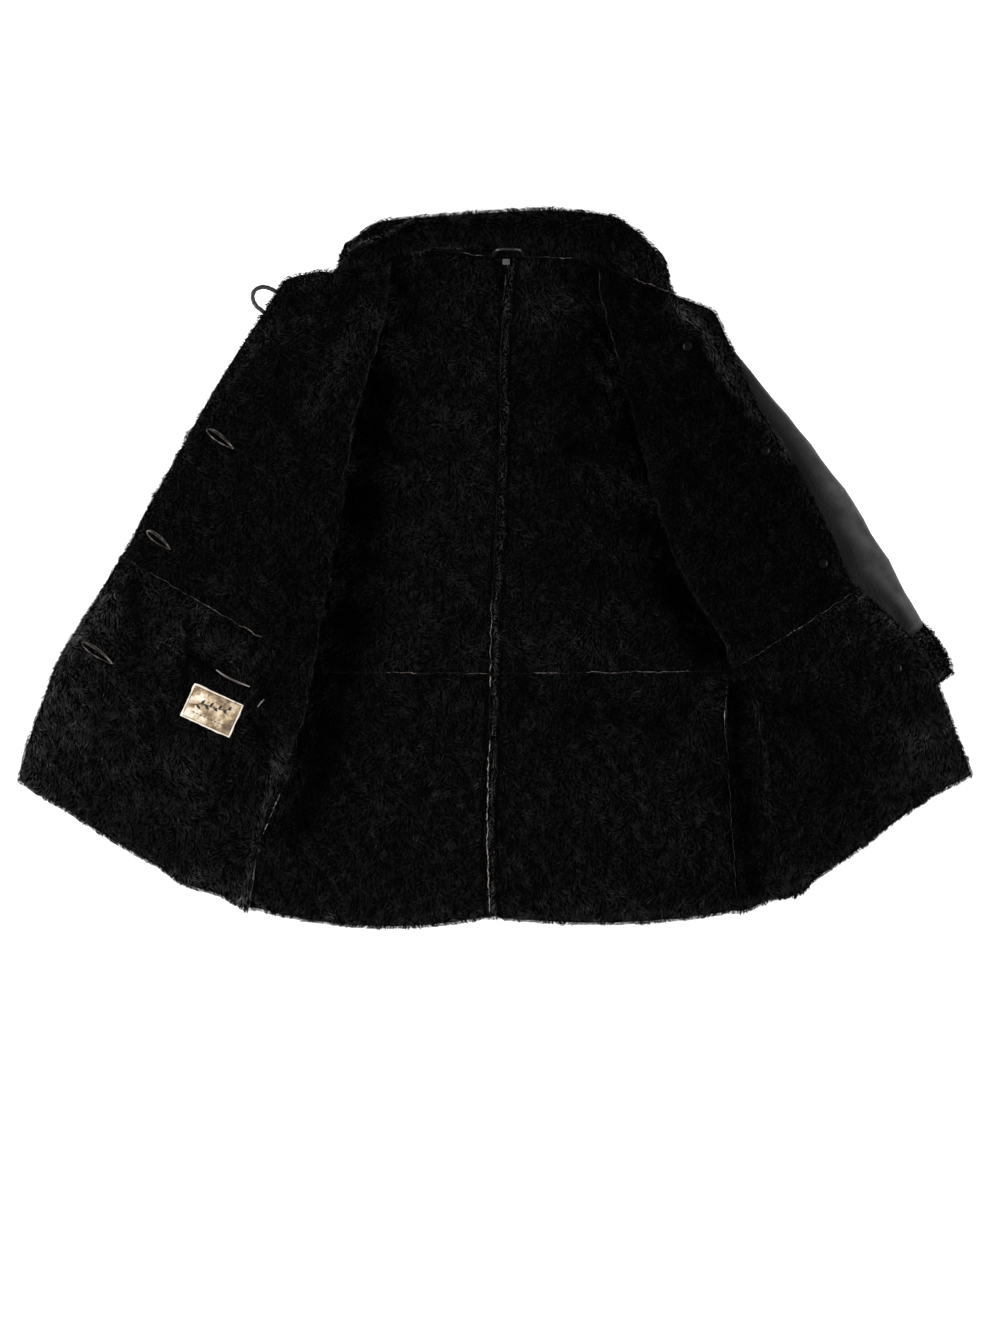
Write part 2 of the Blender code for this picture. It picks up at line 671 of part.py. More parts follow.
def build_buttonhole(name, surface, ends):
    """A raised leather lip round a slit."""
    start, end = Vector(ends[0]), Vector(ends[1])
    centre = (start + end) / 2
    half_width = HOLE_WIDTH / 2 - HOLE_LIP_RADIUS
    half_length = (end - start).length / 2 - HOLE_LIP_RADIUS - half_width
    along = (end - start).normalized()
    across = Vector((-along.y, along.x))
    plan = []
    for end_sign in (1, -1):
        for angle in np.linspace(-math.pi / 2, math.pi / 2, 6):
            plan.append(centre + along * end_sign * (half_length + half_width * math.cos(angle))
                        + across * end_sign * half_width * math.sin(angle))
        for t in (0.25, 0.5, 0.75):
            plan.append(centre + along * end_sign * half_length * (1 - 2 * t)
                        + across * end_sign * half_width)
    route = []
    for place in plan:
        seat = seat_height(surface, place.x, place.y, HOLE_LIP_RADIUS)
        route.append((place.x, place.y, seat + HOLE_LIP_RADIUS + SEAM_GAP))
    return tube(name, route, HOLE_LIP_RADIUS, True, CORD)


def turned_button(name, profile, place, axis):
    """A button turned from its profile, which runs from the top's middle down to the foot's."""
    mesh = bpy.data.meshes.new(name)
    points = [(radius * MM, 0.0, height * MM) for radius, height in profile]
    mesh.from_pydata(points, [(k, k + 1) for k in range(len(points) - 1)], [])
    mesh.materials.append(make_material(name + "_finish", HORN))
    button = bpy.data.objects.new(name, mesh)
    coat.objects.link(button)
    turn = button.modifiers.new("turn", "SCREW")
    turn.steps = TURNED_STEPS
    turn.render_steps = TURNED_STEPS
    turn.use_merge_vertices = True
    turn.merge_threshold = 0.01 * MM
    button.rotation_mode = "QUATERNION"
    button.rotation_quaternion = Vector((0, 0, 1)).rotation_difference(axis)
    button.location = place * MM
    return button


def stay_button_profile():
    """A small button with a raised rim round a shallow dish."""
    radius, height = STAY_BUTTON_RADIUS, STAY_BUTTON_HEIGHT
    return ((0, height * 0.8), (radius * 0.5, height * 0.85), (radius * 0.6, height),
            (radius * 0.85, height * 0.9), (radius, height * 0.6), (radius, height * 0.3),
            (radius * 0.8, 0), (0, 0))


def outer_button_profile():
    """A flat disc with rounded edges."""
    radius, height = OUTER_BUTTON_RADIUS, OUTER_BUTTON_HEIGHT
    return ((0, height), (radius * 0.93, height), (radius, height * 0.75),
            (radius, height * 0.25), (radius * 0.93, 0), (0, 0))


def disc_stand(probe, place, axis, radius):
    """How far a flat disc has to stand off a surface so that it touches it nowhere."""
    worst = 0.0
    for ring in (radius / 2, radius):
        for angle in np.linspace(0, 2 * math.pi, 12, endpoint=False):
            other, _ = probe(place.x + ring * math.cos(angle), place.y + ring * math.sin(angle))
            if other:
                worst = max(worst, (other - place).dot(axis))
    return worst + SEAM_GAP


def build_buttons(surface):
    """Each place has a small button on the pile side and the coat's own one on the leather."""
    for index, (x, y) in enumerate(BUTTONS, start=1):
        top, up = top_point(surface, x, y)
        stand = disc_stand(lambda px, py: top_point(surface, px, py), top, up, STAY_BUTTON_RADIUS)
        turned_button("stay_button_%d" % index, stay_button_profile(), top + up * stand, up)
        under_z = top.z - WALL - BUTTON_ROOM
        below, down = bottom_point(surface, x, y, under_z)
        stand = disc_stand(lambda px, py: bottom_point(surface, px, py, under_z), below, down,
                           OUTER_BUTTON_RADIUS)
        turned_button("outer_button_%d" % index, outer_button_profile(), below + down * stand,
                      down)


def build_loops(collar_surface, front_surface, front_grid):
    route = []
    smooth = resample(HANGER_LOOP, 3)
    for index, (x, y) in enumerate(smooth):
        hit, normal = top_point(collar_surface, x, y)
        rise = HANGER_RISE * math.sin(math.pi * index / (len(smooth) - 1)) ** 0.6
        route.append(hit + normal * (LOOP_RADIUS + LOOP_LIE_GAP) + Vector((0, 0, rise)))
    tube("hanger_loop", route, LOOP_RADIUS, False, GLOSS_LEATHER)
    corner_z = front_grid[0, -1][2]
    route = [Vector((x, y, corner_z)) for x, y in resample(BUTTON_LOOP, 3)]
    for index, inner in ((0, 1), (-1, -2)):
        heading = (route[index] - route[inner]).normalized()
        hit, _, _, _ = front_surface.ray_cast(route[inner], heading)
        route[index] = hit - heading * LOOP_END_GAP
    tube("button_loop", route, LOOP_RADIUS, False, CORD)


# ---------------------------------------------------------------- the coat

def build_coat():
    back_tops = []
    outlines = {}
    for side_name, table, sleeve, cuff_end in (
            ("right", WEARERS_RIGHT, SLEEVE_RIGHT, CUFF_END_RIGHT),
            ("left", WEARERS_LEFT, SLEEVE_LEFT, CUFF_END_LEFT)):
        back_tops.append(build_back(side_name, table)[0])
        sections = build_sleeve(side_name, table, sleeve)
        cuff = cuff_sections(sleeve, cuff_end)
        build_cuff(side_name, cuff)
        outlines[side_name] = sleeve_outline(sections + list(cuff))
    right_grid, right_panels = build_front("right", WEARERS_RIGHT, outlines["right"], 0.0,
                                           HEM_SKEW_RIGHT)
    left_grid, left_panels = build_front("left", WEARERS_LEFT, outlines["left"], BUTTON_ROOM,
                                         HEM_SKEW_LEFT)
    inner = STRIP_COLUMNS + ARC_COLUMNS - 1
    collar = build_collar(back_tops, (right_grid[0, inner:], left_grid[0, inner:]))
    right_surface = surface_of(right_panels)
    left_surface = surface_of(left_panels)
    collar_surface = surface_of([collar] + [coat.objects["back_upper_right"],
                                            coat.objects["back_upper_left"]])
    for index, ends in enumerate(BUTTONHOLES, start=1):
        build_buttonhole("buttonhole_%d" % index, right_surface, ends)
    build_buttons(left_surface)
    build_loops(collar_surface, right_surface, right_grid)
    patch_on(right_surface, "label", LABEL_CENTRE, LABEL_SIZE, LABEL_TURN, SATIN)
    ends = np.array(WELT_ENDS, dtype=float)
    run = ends[1] - ends[0]
    patch_on(right_surface, "pocket_welt", ends.mean(axis=0), (np.linalg.norm(run), WELT_WIDTH),
             math.atan2(run[1], run[0]), LEATHER)
    patch_on(collar_surface, "size_tag", SIZE_TAG_CENTRE, SIZE_TAG_SIZE, 0.0, TAG)


for old in list(bpy.data.objects):
    bpy.data.objects.remove(old)
coat = bpy.data.collections.new("sheepskin_coat")
bpy.context.scene.collection.children.link(coat)
build_coat()
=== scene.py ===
"""Sheared sheepskin coat laid open on its back: skin, pile, seams, leather and trim.

Sides are the wearer's: the wearer's right is at -X, +Y points to the collar and +Z is up.
Lengths are in metres, written as a number of millimetres times MM.
"""

import math

import bmesh
import bpy
import numpy as np
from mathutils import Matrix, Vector
from mathutils.bvhtree import BVHTree
from mathutils.kdtree import KDTree


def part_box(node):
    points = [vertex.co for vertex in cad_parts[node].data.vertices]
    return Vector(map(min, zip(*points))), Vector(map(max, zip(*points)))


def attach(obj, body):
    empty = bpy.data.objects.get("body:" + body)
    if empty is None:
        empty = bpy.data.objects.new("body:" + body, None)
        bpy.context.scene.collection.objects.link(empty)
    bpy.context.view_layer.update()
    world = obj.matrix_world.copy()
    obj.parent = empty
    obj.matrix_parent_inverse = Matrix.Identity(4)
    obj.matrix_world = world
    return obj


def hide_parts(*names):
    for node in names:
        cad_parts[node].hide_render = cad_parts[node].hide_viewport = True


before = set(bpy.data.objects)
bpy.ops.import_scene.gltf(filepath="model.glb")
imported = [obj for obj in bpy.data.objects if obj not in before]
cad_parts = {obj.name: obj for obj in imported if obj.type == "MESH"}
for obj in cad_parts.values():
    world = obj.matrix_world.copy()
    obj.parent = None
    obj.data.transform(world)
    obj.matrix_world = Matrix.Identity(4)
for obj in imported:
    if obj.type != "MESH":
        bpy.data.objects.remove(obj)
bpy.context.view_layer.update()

MM = 0.001
UP = (0.0, 0.0, 1.0)

# ---------------------------------------------------------------- driving sizes

CLOTH = 11 * MM             # skin and pile together
PILE_FREE = 4.2 * MM        # how far the loose tips stand above the dense underwool
EDGE_FREE = 1.6 * MM        # the same past the coat's free edges
EDGE_PILE = 0.66            # length of the pile on those edges, as a share
# Painted light: the pile along the free edges is painted lighter, where the edges catch the side
# lights
EDGE_PAINTED_LIGHT = 1.7            # how much lighter the pile is along them
EDGE_REACH = 13.0           # and how far in, in millimetres
SEAM_INSET = 0.1 * MM       # the skin's own gap at a seam
SEWN_REACH = 2.5 * MM       # a rim this near its neighbour is sewn to it
CUFF_LAP = 5.0 * MM         # how far a cuff's pile reaches over the sleeve's end
CUFF_FADE = 14 * MM
FOLD_REACH = 2.6 * MM       # how far the tips reach past a fold
PARTING = 3.2 * MM          # reach of the groove where the pile parts at a seam
LOCK_CELL = 3.6 * MM        # spacing of the small locks that the tips gather into
BLADE_LENGTH = 6.6 * MM
BLADE_WIDTH = 1.1 * MM
BLADE_SPACING = 1.66 * MM
HIDDEN_SHARE = 0.2          # share of blades kept where another layer covers the pile
RIM_SHARE = 1.5             # how much denser they stand on a free rim
BLADE_TONES = (0.08, 0.08, 0.55, 0.55, 1.25)    # darkest at the root, lightest at the tip
RIM_ANGLE = math.radians(50)
ROUND_ANGLE = math.radians(80)
FLAT_CELL = 12 * MM
END_FACE = 0.0004           # the largest face, in square metres, of a tube's end
SKY_REACH = 160 * MM        # how far another layer still shades the pile
BARE_TONE = 0.03            # the cut skin where the dye covers it, as a share of tan

# Frame of the photograph: the camera looks straight down at the surface that the coat lies on
MM_PER_PIXEL = 1.13
PHOTO_WIDTH, PHOTO_HEIGHT = 1000, 1333
COAT_CENTRE_PIXEL = (495.0, 567.5)
CAMERA_DISTANCE = 5.5
SENSOR_WIDTH = 36.0         # in millimetres, as Blender has it
FLOOR_REACH = 30.0
FLOOR_DROP = 0.3 * MM       # the floor lies this far under the coat, clear of its flat leather

SIDES = ("right", "left")
PANELS = ("back_upper_", "back_lower_", "front_upper_", "front_lower_")
PILE_NODES = [part + side for side in SIDES for part in PANELS + ("cuff_",)] + ["collar"]
SLEEVE_NODES = [part + side for side in SIDES for part in ("sleeve_top_", "sleeve_under_")]

# The panels' short names in the tables: back or front, upper or lower, right or left
BUR, BLR, FUR, FLR = (part + "right" for part in PANELS)
BUL, BLL, FUL, FLL = (part + "left" for part in PANELS)

# Pieces sewn to each other where their pile meets
SEAMS = [(BUR, BUL), (BLR, BLL)]
for _bu, _bl, _fu, _fl in ((BUR, BLR, FUR, FLR), (BUL, BLL, FUL, FLL)):
    SEAMS += [(_bu, _bl), (_fu, _fl), (_bu, _fu), (_bl, _fl), ("collar", _bu), ("collar", _fu)]

# Corners where pieces meet at different heights: name, half width, half heights, points
CORNERS = (
    ("neck_corner_right", 4.0, 14, 5,
     ((-134, 336, 18), (-120, 343, 16.5), (-111, 348.5, 12), (-97, 352, 8))),
    ("neck_corner_left", 4.0, 13, 5,
     ((127, 331, 20), (116, 338, 18.5), (107, 344, 13), (92, 349, 8))),
    ("waist_corner_right", 2.4, 8, 5,
     ((-231, -90, 14), (-230, -118, 13), (-229, -150, 11), (-226, -205, 9))),
    ("waist_corner_left", 2.4, 8, 4,
     ((258, -72, 17), (263, -98, 13), (265, -120, 8), (264, -150, 6))),
)

# Outer edge of the wearer's left front, past which its sleeve shows
SLEEVE_SHOWS = ((254, 266), (308, 167), (345, 108), (372, 49), (408, -14), (462, -73))

# Places in the tables below are millimetres on the coat, seen from above.

# Where the cut skin shows: seam, then axis, and from, to and how light it is of each run
BARE_RUNS = {
    (BUR, BUL): (1, ((330, 215, 0.25), (345, 318, 0.5), (166, 150, 0.35), (-38, -104, 0.62),
                     (-106, -116, 0.95))),
    (BLR, BLL): (1, ((-124, -138, 1.2), (-196, -388, 1.0))),
    (BUR, BLR): (0, ((-121, -89, 0.8), (-86, -38, 0.22), (-34, -9, 0.55))),
    (BUL, BLL): (0, ((45, 73, 0.6), (76, 100, 0.22), (103, 218, 0.6))),
    (FUR, FLR): (0, ((-426, -392, 0.45), (-390, -336, 0.5), (-334, -262, 0.72))),
    (FUL, FLL): (0, ((272, 320, 0.5), (325, 343, 0.9), (346, 398, 0.42))),
    (BLR, FLR): (1, ((-225, -250, 0.25), (-255, -392, 0.85))),
    (BLL, FLL): (1, ((-146, -219, 0.35), (-222, -362, 0.3))),
    ("collar", BUR): (0, ((-125, -80, 0.3), (-36, -6, 0.6))),
    ("collar", BUL): (0, ((32, 72, 0.4), (74, 98, 0.75))),
    ("collar", FUL): (0, ((154, 200, 0.6),)),
}

# How light each piece's pile is: the pieces' own small differences, together with painted light and
# shade for how brightly each piece is lit
PIECE_PAINTED_LIGHT_AND_TONE = {
    BUR: 0.85, BUL: 0.64, BLR: 0.72, BLL: 0.66, FUR: 0.60, FLR: 0.98, FUL: 0.34, FLL: 0.60,
    "cuff_right": 0.8, "cuff_left": 0.8, "collar": 0.56,
}

# Soft troughs and ridges of the pile side: pieces, line, half width, rise
CREASES = (
    ((FLR,), ((-345, -42), (-347, -150)), 6.0, -2.2),
    ((FLR,), ((-262, -95), (-270, -165), (-285, -215)), 9.0, -1.8),
    ((FLR,), ((-420, -140), (-395, -190), (-365, -260)), 16.0, 1.6),
    ((FLR,), ((-385, -95), (-372, -150), (-352, -230)), 12.0, -1.4),
    ((FLR,), ((-236, -215), (-262, -285), (-288, -375)), 9.0, 2.0),
    ((FUR,), ((-250, 250), (-285, 160), (-330, 70)), 18.0, -1.6),
    ((FUR,), ((-215, 210), (-235, 110), (-262, 10)), 20.0, 1.6),
    ((FUL,), ((150, 240), (190, 150), (232, 60)), 16.0, 1.6),
    ((FUL,), ((240, 160), (290, 70), (330, -10)), 18.0, -1.6),
    ((FLL,), ((288, -146), (297, -184), (303, -231), (305, -275)), 9.0, 2.4),
    ((FLL,), ((345, -110), (362, -180), (372, -240)), 14.0, -1.6),
    ((FLL,), ((430, -90), (452, -160), (470, -215)), 16.0, 1.5),
    ((BUR,), ((-70, 250), (-82, 120), (-78, 0)), 24.0, 1.5),
    ((BUL,), ((60, 230), (72, 120), (86, 10)), 26.0, 1.5),
    ((BLR,), ((-110, -150), (-140, -260), (-150, -350)), 24.0, -1.6),
    ((BLL,), ((120, -150), (150, -250), (158, -350)), 24.0, -1.6),
    ((BLL,), ((218, -150), (228, -250), (232, -340)), 14.0, 1.5),
    (("collar",), ((-166, 345), (-122, 370), (-79, 388)), 3.0, -2.5),
    (("collar",), ((-168, 352), (-138, 368), (-126, 372), (-95, 388)), 2.5, 1.8),
    ((FUL,), ((216, 270), (232, 238), (254, 198), (283, 155)), 4.0, -1.2),
)

# Lines along which the pile is combed, painted lighter or darker, or thin:
# pieces, line, half width, tone (painted light on ridges, creases and folds, painted shade in
# grooves), rise, length, share combed along the line
CENTRE_BACK = ((13.6, 350), (10.7, 310), (5.7, 219), (5.7, 154), (4.2, 100), (-3.7, -50),
               (-6, -195), (-9.3, -290), (-6, -394))
RIGHT_FOLD = ((-112, 323), (-118, 289), (-129, 258), (-140, 219), (-153, 178), (-160, 142),
              (-163, 101), (-175, 34), (-188, -46), (-202, -112), (-209, -172), (-223, -212))
LEFT_FOLD = ((114, 333), (115, 310), (122, 282), (136, 232), (148, 180), (162, 133), (169, 102),
             (174, 76), (187, 39), (203, 2), (216, -28), (232, -50), (255, -76), (271, -99))
# A ridge with painted light, a groove with painted shade and a dip with painted shade beside the
# centre-back seam, at these offsets
RIDGE_SHIFT, GROOVE_SHIFT, DIP_SHIFT = 5.0, 11.5, -4.0   # beside the centre-back seam
STREAKS = (
    ((BUL, BLL), [(x + RIDGE_SHIFT, y) for x, y in CENTRE_BACK], 2.6, 5.4, 2.0, 0.6, 0.3),
    ((BUL, BLL), [(x + GROOVE_SHIFT, y) for x, y in CENTRE_BACK], 2.2, 0.35, -1.2, 0.75, 0.3),
    ((BUR, BLR), [(x + DIP_SHIFT, y) for x, y in CENTRE_BACK], 2.5, 0.5, -0.6, 0.8, 0.3),
    (("collar",), ((-168, 352), (-138, 368), (-126, 372), (-95, 388)), 2.0, 6.0, 0.8, 0.8, 0.9),
    (("collar",), ((-126, 345), (-96, 356), (-66, 361.5), (-40, 364), (-16, 364)),
     1.3, 6.0, 0.5, 0.8, 0.9),
    (("collar",), ((128, 364), (150, 349), (175, 330)), 6.0, 1.9, 0.6, 1.0, 0.8),
    ((FUL,), ((204, 289), (232, 262), (254, 216), (281, 180), (313, 149), (327, 126)),
     6.5, 5.0, 0.5, 1.0, 0.8),
    ((FUL,), ((345, 103), (372, 49), (396, -8)), 1.8, 2.6, 0.3, 0.8, 0.9),
    ((FUL,), ((216, 270), (232, 238), (254, 198), (283, 155)), 4.0, 0.6, -0.6, 0.8, 0.3),
    ((FLR,), ((-243, -205), (-268, -300), (-284, -375)), 5.0, 2.6, 0.8, 1.1, 0.95),
    ((FLL,), ((290, -150), (303, -200), (306, -268)), 3.5, 1.9, 0.5, 1.0, 0.6),
    ((FLL,), ((284, -94), (345, -64), (412, -32)), 2.5, 1.9, 0.4, 0.9, 0.5),
    ((FUR, FLR), RIGHT_FOLD, 6.0, 1.1, 0.0, 0.6, 0.9),
    ((FUL, FLL), LEFT_FOLD, 6.0, 1.1, 0.0, 0.6, 0.9),
    ((FUR, FLR), RIGHT_FOLD, 1.3, 2.0, 0.0, 1.0, 0.9),
    ((FUL, FLL), LEFT_FOLD, 1.3, 2.8, 0.0, 1.0, 0.9),
)

# Painted light and shade on the pile, in broad lit bands, shaded caves and patches: pieces, line,
# half width, tone
PAINTED_LIGHT_AND_SHADE = (
    ((BUR,), ((-126, 200), (-136, 126), (-146, 50)), 20.0, 0.15),
    ((BUR, BLR), ((-152, 10), (-160, -65), (-178, -153), (-200, -227), (-218, -290)), 24.0, 0.15),
    ((BUL,), ((186, 31), (206, -36), (236, -94)), 17.0, 0.15),
    ((BUL,), ((116, 305), (131, 190), (150, 100), (163, 62)), 14.0, 2.0),
    ((BLL, FLL), ((272, -138), (279, -241), (290, -359)), 12.0, 0.06),
    ((BUL,), ((42, 338), (54, 288)), 24.0, 2.3),
    ((BUL,), ((30, -78), (120, -84)), 22.0, 1.7),
    ((BUR,), ((-28, 300), (-30, 60)), 10.0, 1.25),
    ((BLL,), ((30, -150), (110, -165), (190, -175)), 14.0, 0.6),
    ((BLL,), ((120, -250), (215, -290)), 32.0, 1.4),
    ((FUR,), ((-140, 290), (-170, 240), (-205, 180)), 15.0, 2.7),
    ((FUR,), ((-222, 258), (-238, 200), (-212, 110)), 14.0, 0.65),
    ((FUR,), ((-252, 272), (-275, 235), (-300, 195)), 8.0, 1.9),
    ((FUR, FLR), ((-425, -38), (-470, -78)), 13.0, 1.9),
    ((BUL,), ((122, 262), (75, 200), (92, 140)), 24.0, 0.65),
    ((BUL,), ((72, 30), (84, -24)), 22.0, 0.7),
    ((BLL,), ((60, -374), (150, -374)), 14.0, 1.6),
    ((FLR,), ((-315, -215), (-318, -300)), 16.0, 0.62),
    ((FUR,), ((-215, -20), (-232, -80)), 20.0, 0.6),
    ((FLR,), ((-240, -80), (-232, -190)), 18.0, 0.5),
    ((FLR, FUR), ((-440, -40), (-475, -110), (-510, -190), (-520, -235)), 38.0, 1.9),
    ((FLR,), ((-329, -39), (-366, -80)), 16.0, 1.8),
    ((FLR,), ((-402, -25), (-402, -90)), 12.0, 0.3),
    ((FLR,), ((-393, -127), (-393, -202)), 10.0, 0.6),
    ((FLR,), ((-345, -60), (-345, -150)), 7.0, 0.4),
    ((FLR,), ((-261, -110), (-254, -166)), 13.0, 0.6),
    ((FLR,), ((-346, -229), (-329, -263)), 12.0, 1.5),
    ((FLL,), ((330, -140), (400, -200), (380, -260)), 38.0, 0.55),
    ((FLL,), ((470, -190), (500, -230)), 26.0, 2.1),
    ((FLL,), ((395, -85), (425, -60)), 10.0, 1.6),
    ((FUL,), ((190, 296), (232, 266), (262, 226)), 13.0, 2.4),
    (("collar",), ((178, 350), (192, 325)), 12.0, 1.6),
    ((FLR,), ((-348, -93), (-311, -116)), 6.0, 0.3),
    ((FLR,), ((-268, -180), (-285, -240)), 18.0, 0.65),
    ((FUR,), ((-250, 275), (-268, 245)), 8.0, 1.8),
    (("collar",), ((-120, 368), (-60, 378), (0, 374), (80, 372), (130, 360)), 14.0, 0.7),
    (("collar",), ((-177, 332), (-165, 369), (-118, 391), (59, 406), (147, 394), (184, 354),
                   (198, 318)), 13.0, 1.7),
)

# Where the real outline lies a little off the cut pieces: pieces, line, half width, way
SHIFTS = (
    ((FUL, FLL), ((300, 190), (345, 118), (372, 55), (408, -10)), 20.0, (-4.6, -2.6)),
    ((FLL,), ((292, -375), (338, -368)), 20.0, (1.0, -6.0)),
    ((FUR,), ((-236, 316), (-216, 324), (-200, 328)), 14.0, (-0.5, 5.5)),
    ((FLR,), ((-350, -358), (-285, -378)), 20.0, (-1.5, -4.5)),
    ((FLR,), ((-485, -285), (-390, -338)), 22.0, (1.5, 3.0)),
    ((FLL,), ((375, -352), (505, -262)), 22.0, (-1.5, 3.0)),
)

# Where nothing grows: under the label, the lips and the buttons
BUTTONHOLES = (((-323, 154), (-293, 132)), ((-390, 40), (-363, 19)), ((-463, -85), (-428, -109)))
STAY_BUTTONS = ((215, 246), (302, 129), (367, 3), (450, -114))
LABEL_CENTRE, LABEL_TURN = (-317, -161), math.radians(-24.4)
LABEL_HALF = (29.0, 19.0)
LABEL_AXES = np.array([[math.cos(LABEL_TURN), -math.sin(LABEL_TURN)],
                       [math.sin(LABEL_TURN), math.cos(LABEL_TURN)]])
POCKET_SLIT = ((-343, -96), (-326, -105), (-309, -113.5))
POCKET_LIP = ((-312, -115.5), (-303, -122), (-290, -128.5), (-275, -134.5))
POCKET_LINE = POCKET_SLIT[:-1] + POCKET_LIP
BAR_TACK = ((-266, -157), (-262, -152), (-259, -149))
HANGER_LINE = ((-3, 355), (14, 351), (33, 354))
BALD_LINES = [(hole, 3.0) for hole in BUTTONHOLES] + [
    ((button, (button[0] + 0.1, button[1])), 4.6) for button in STAY_BUTTONS] + [
    (POCKET_LINE, 1.7), (BAR_TACK, 0.8), (HANGER_LINE, 2.2), (((10, 346), (16, 346)), 4.6)]

# Soft wrinkles of the leather sleeves: sleeve, line, half width, rise
WRINKLES = (
    ("left", ((346, 128), (372, 112), (398, 100)), 9.0, -1.3),
    ("left", ((366, 70), (392, 62), (418, 40), (430, 22)), 8.0, -2.0),
    ("left", ((384, 92), (404, 74), (424, 50)), 7.0, 1.4),
    ("left", ((392, 24), (416, 14), (438, -6), (448, -22)), 7.0, -1.8),
    ("left", ((404, 44), (428, 24), (444, 0)), 6.0, 1.5),
    ("left", ((412, -20), (436, -34), (458, -60)), 7.0, -1.6),
    ("left", ((300, 196), (322, 180), (338, 160)), 10.0, -1.2),
    ("left", ((352, 20), (372, -10), (398, -50)), 9.0, -1.5),
    ("right", ((-300, 120), (-330, 104), (-352, 82)), 9.0, -1.6),
    ("right", ((-330, 60), (-352, 44), (-372, 20)), 7.0, -1.8),
    ("right", ((-322, 86), (-345, 70), (-362, 48)), 6.0, 1.3),
    ("right", ((-350, 0), (-372, -16), (-388, -42)), 8.0, -1.5),
)


# ---------------------------------------------------------------- noise

def ripple(points, size, seed, waves=14):
    """Smooth noise of about unit strength: a sum of plane waves about `size` long."""
    source = np.random.default_rng(seed)
    total = np.zeros(len(points))
    for _ in range(waves):
        heading = source.normal(size=3)
        heading *= 2 * math.pi / (np.linalg.norm(heading) * size * source.uniform(0.7, 1.5))
        total += np.sin(points @ heading + source.uniform(0, 2 * math.pi))
    return total * math.sqrt(2.0 / waves)


def smooth_step(value):
    t = np.clip(value, 0.0, 1.0)
    return t * t * (3.0 - 2.0 * t)


def unit(vectors):
    return vectors / np.maximum(np.linalg.norm(vectors, axis=1, keepdims=True), 1e-12)


def line_distance(points, line):
    """Distance in plan to a line given in millimetres, and the line's direction there."""
    places = points[:, :2]
    best = np.full(len(points), np.inf)
    heading = np.zeros((len(points), 3))
    line = np.asarray(line, dtype=float) * MM
    for start, end in zip(line[:-1], line[1:]):
        run = end - start
        share = np.clip((places - start) @ run / (run @ run), 0.0, 1.0)
        distance = np.linalg.norm(places - start - share[:, None] * run, axis=1)
        nearer = distance < best
        best[nearer] = distance[nearer]
        heading[nearer, :2] = run / np.linalg.norm(run)
    return best, heading


def bell(distance, half_width):
    """1 on the line, falling softly to nothing about two half widths away."""
    return np.exp(-(distance / (half_width * MM))**2)


def beside(points, line, half_width):
    """The same for points and a line given in millimetres."""
    return bell(line_distance(points, line)[0], half_width)


def relief(points, rows, name):
    """How far a table's soft lines raise the points of a piece."""
    rise = np.zeros(len(points))
    for pieces, line, half_width, height in rows:
        if name in pieces:
            rise += height * MM * beside(points, line, half_width)
    return rise


def smoothed(rows, rounds):
    """The rows, with each but the first and the last drawn towards its neighbours."""
    for _ in range(rounds):
        rows[1:-1] = (rows[:-2] + 2 * rows[1:-1] + rows[2:]) / 4
    return rows


def curve_through(rows, step):
    """Points about `step` apart on a Catmull-Rom curve through the rows."""
    table = np.array(rows, dtype=float)
    before = np.vstack([2 * table[0] - table[1], table[:-1]])
    after = np.vstack([table[1:], 2 * table[-1] - table[-2]])
    tangent = (after - before) / 2
    points = []
    for k in range(len(table) - 1):
        spans = max(1, math.ceil(np.linalg.norm(table[k + 1] - table[k]) / step))
        for t in np.arange(spans) / spans:
            points.append((2 * t**3 - 3 * t**2 + 1) * table[k] + (t**3 - 2 * t**2 + t) * tangent[k]
                          + (3 * t**2 - 2 * t**3) * table[k + 1] + (t**3 - t**2) * tangent[k + 1])
    return np.array(points + [table[-1]])


# ---------------------------------------------------------------- materials

def new_material(name, roughness=0.5, specular=0.5):
    """A material, its node tree and its shader, with a gloss that is the same all over."""
    material = bpy.data.materials.new(name)
    material.use_nodes = True
    tree = material.node_tree
    shader = tree.nodes["Principled BSDF"]
    shader.inputs["Roughness"].default_value = roughness
    shader.inputs["Specular IOR Level"].default_value = specular
    return material, tree, shader


def add_node(tree, kind, inputs=(), **settings):
    """A node with its settings, and its inputs set to values or linked to sockets."""
    node = tree.nodes.new(kind)
    for key, value in settings.items():
        setattr(node, key, value)
    for key, value in dict(inputs).items():
        if isinstance(value, bpy.types.NodeSocket):
            tree.links.new(value, node.inputs[key])
        else:
            node.inputs[key].default_value = value
    return node


def object_coordinates(tree):
    return add_node(tree, "ShaderNodeTexCoord").outputs["Object"]


def noise_node(tree, place, scale, detail, roughness):
    return add_node(tree, "ShaderNodeTexNoise", {"Vector": place, "Scale": scale,
                                                 "Detail": detail, "Roughness": roughness})


def ramp_node(tree, factor, stops):
    """A colour ramp from (position, colour) pairs."""
    node = add_node(tree, "ShaderNodeValToRGB", {"Fac": factor})
    while len(node.color_ramp.elements) > len(stops):
        node.color_ramp.elements.remove(node.color_ramp.elements[-1])
    while len(node.color_ramp.elements) < len(stops):
        node.color_ramp.elements.new(1.0)
    for element, (position, colour) in zip(node.color_ramp.elements, stops):
        element.position = position
        element.color = (*colour, 1.0)
    return node


def colour_ramp(tree, shader, factor, stops):
    ramp = ramp_node(tree, factor, stops)
    tree.links.new(ramp.outputs["Color"], shader.inputs["Base Color"])


def range_node(tree, value, start, stop, low, high):
    """The value's run from start to stop, as one from low to high."""
    return add_node(tree, "ShaderNodeMapRange", {
        "Value": value, "From Min": start, "From Max": stop, "To Min": low,
        "To Max": high}).outputs["Result"]


def math_node(tree, operation, *values):
    return add_node(tree, "ShaderNodeMath", dict(enumerate(values)),
                    operation=operation).outputs["Value"]


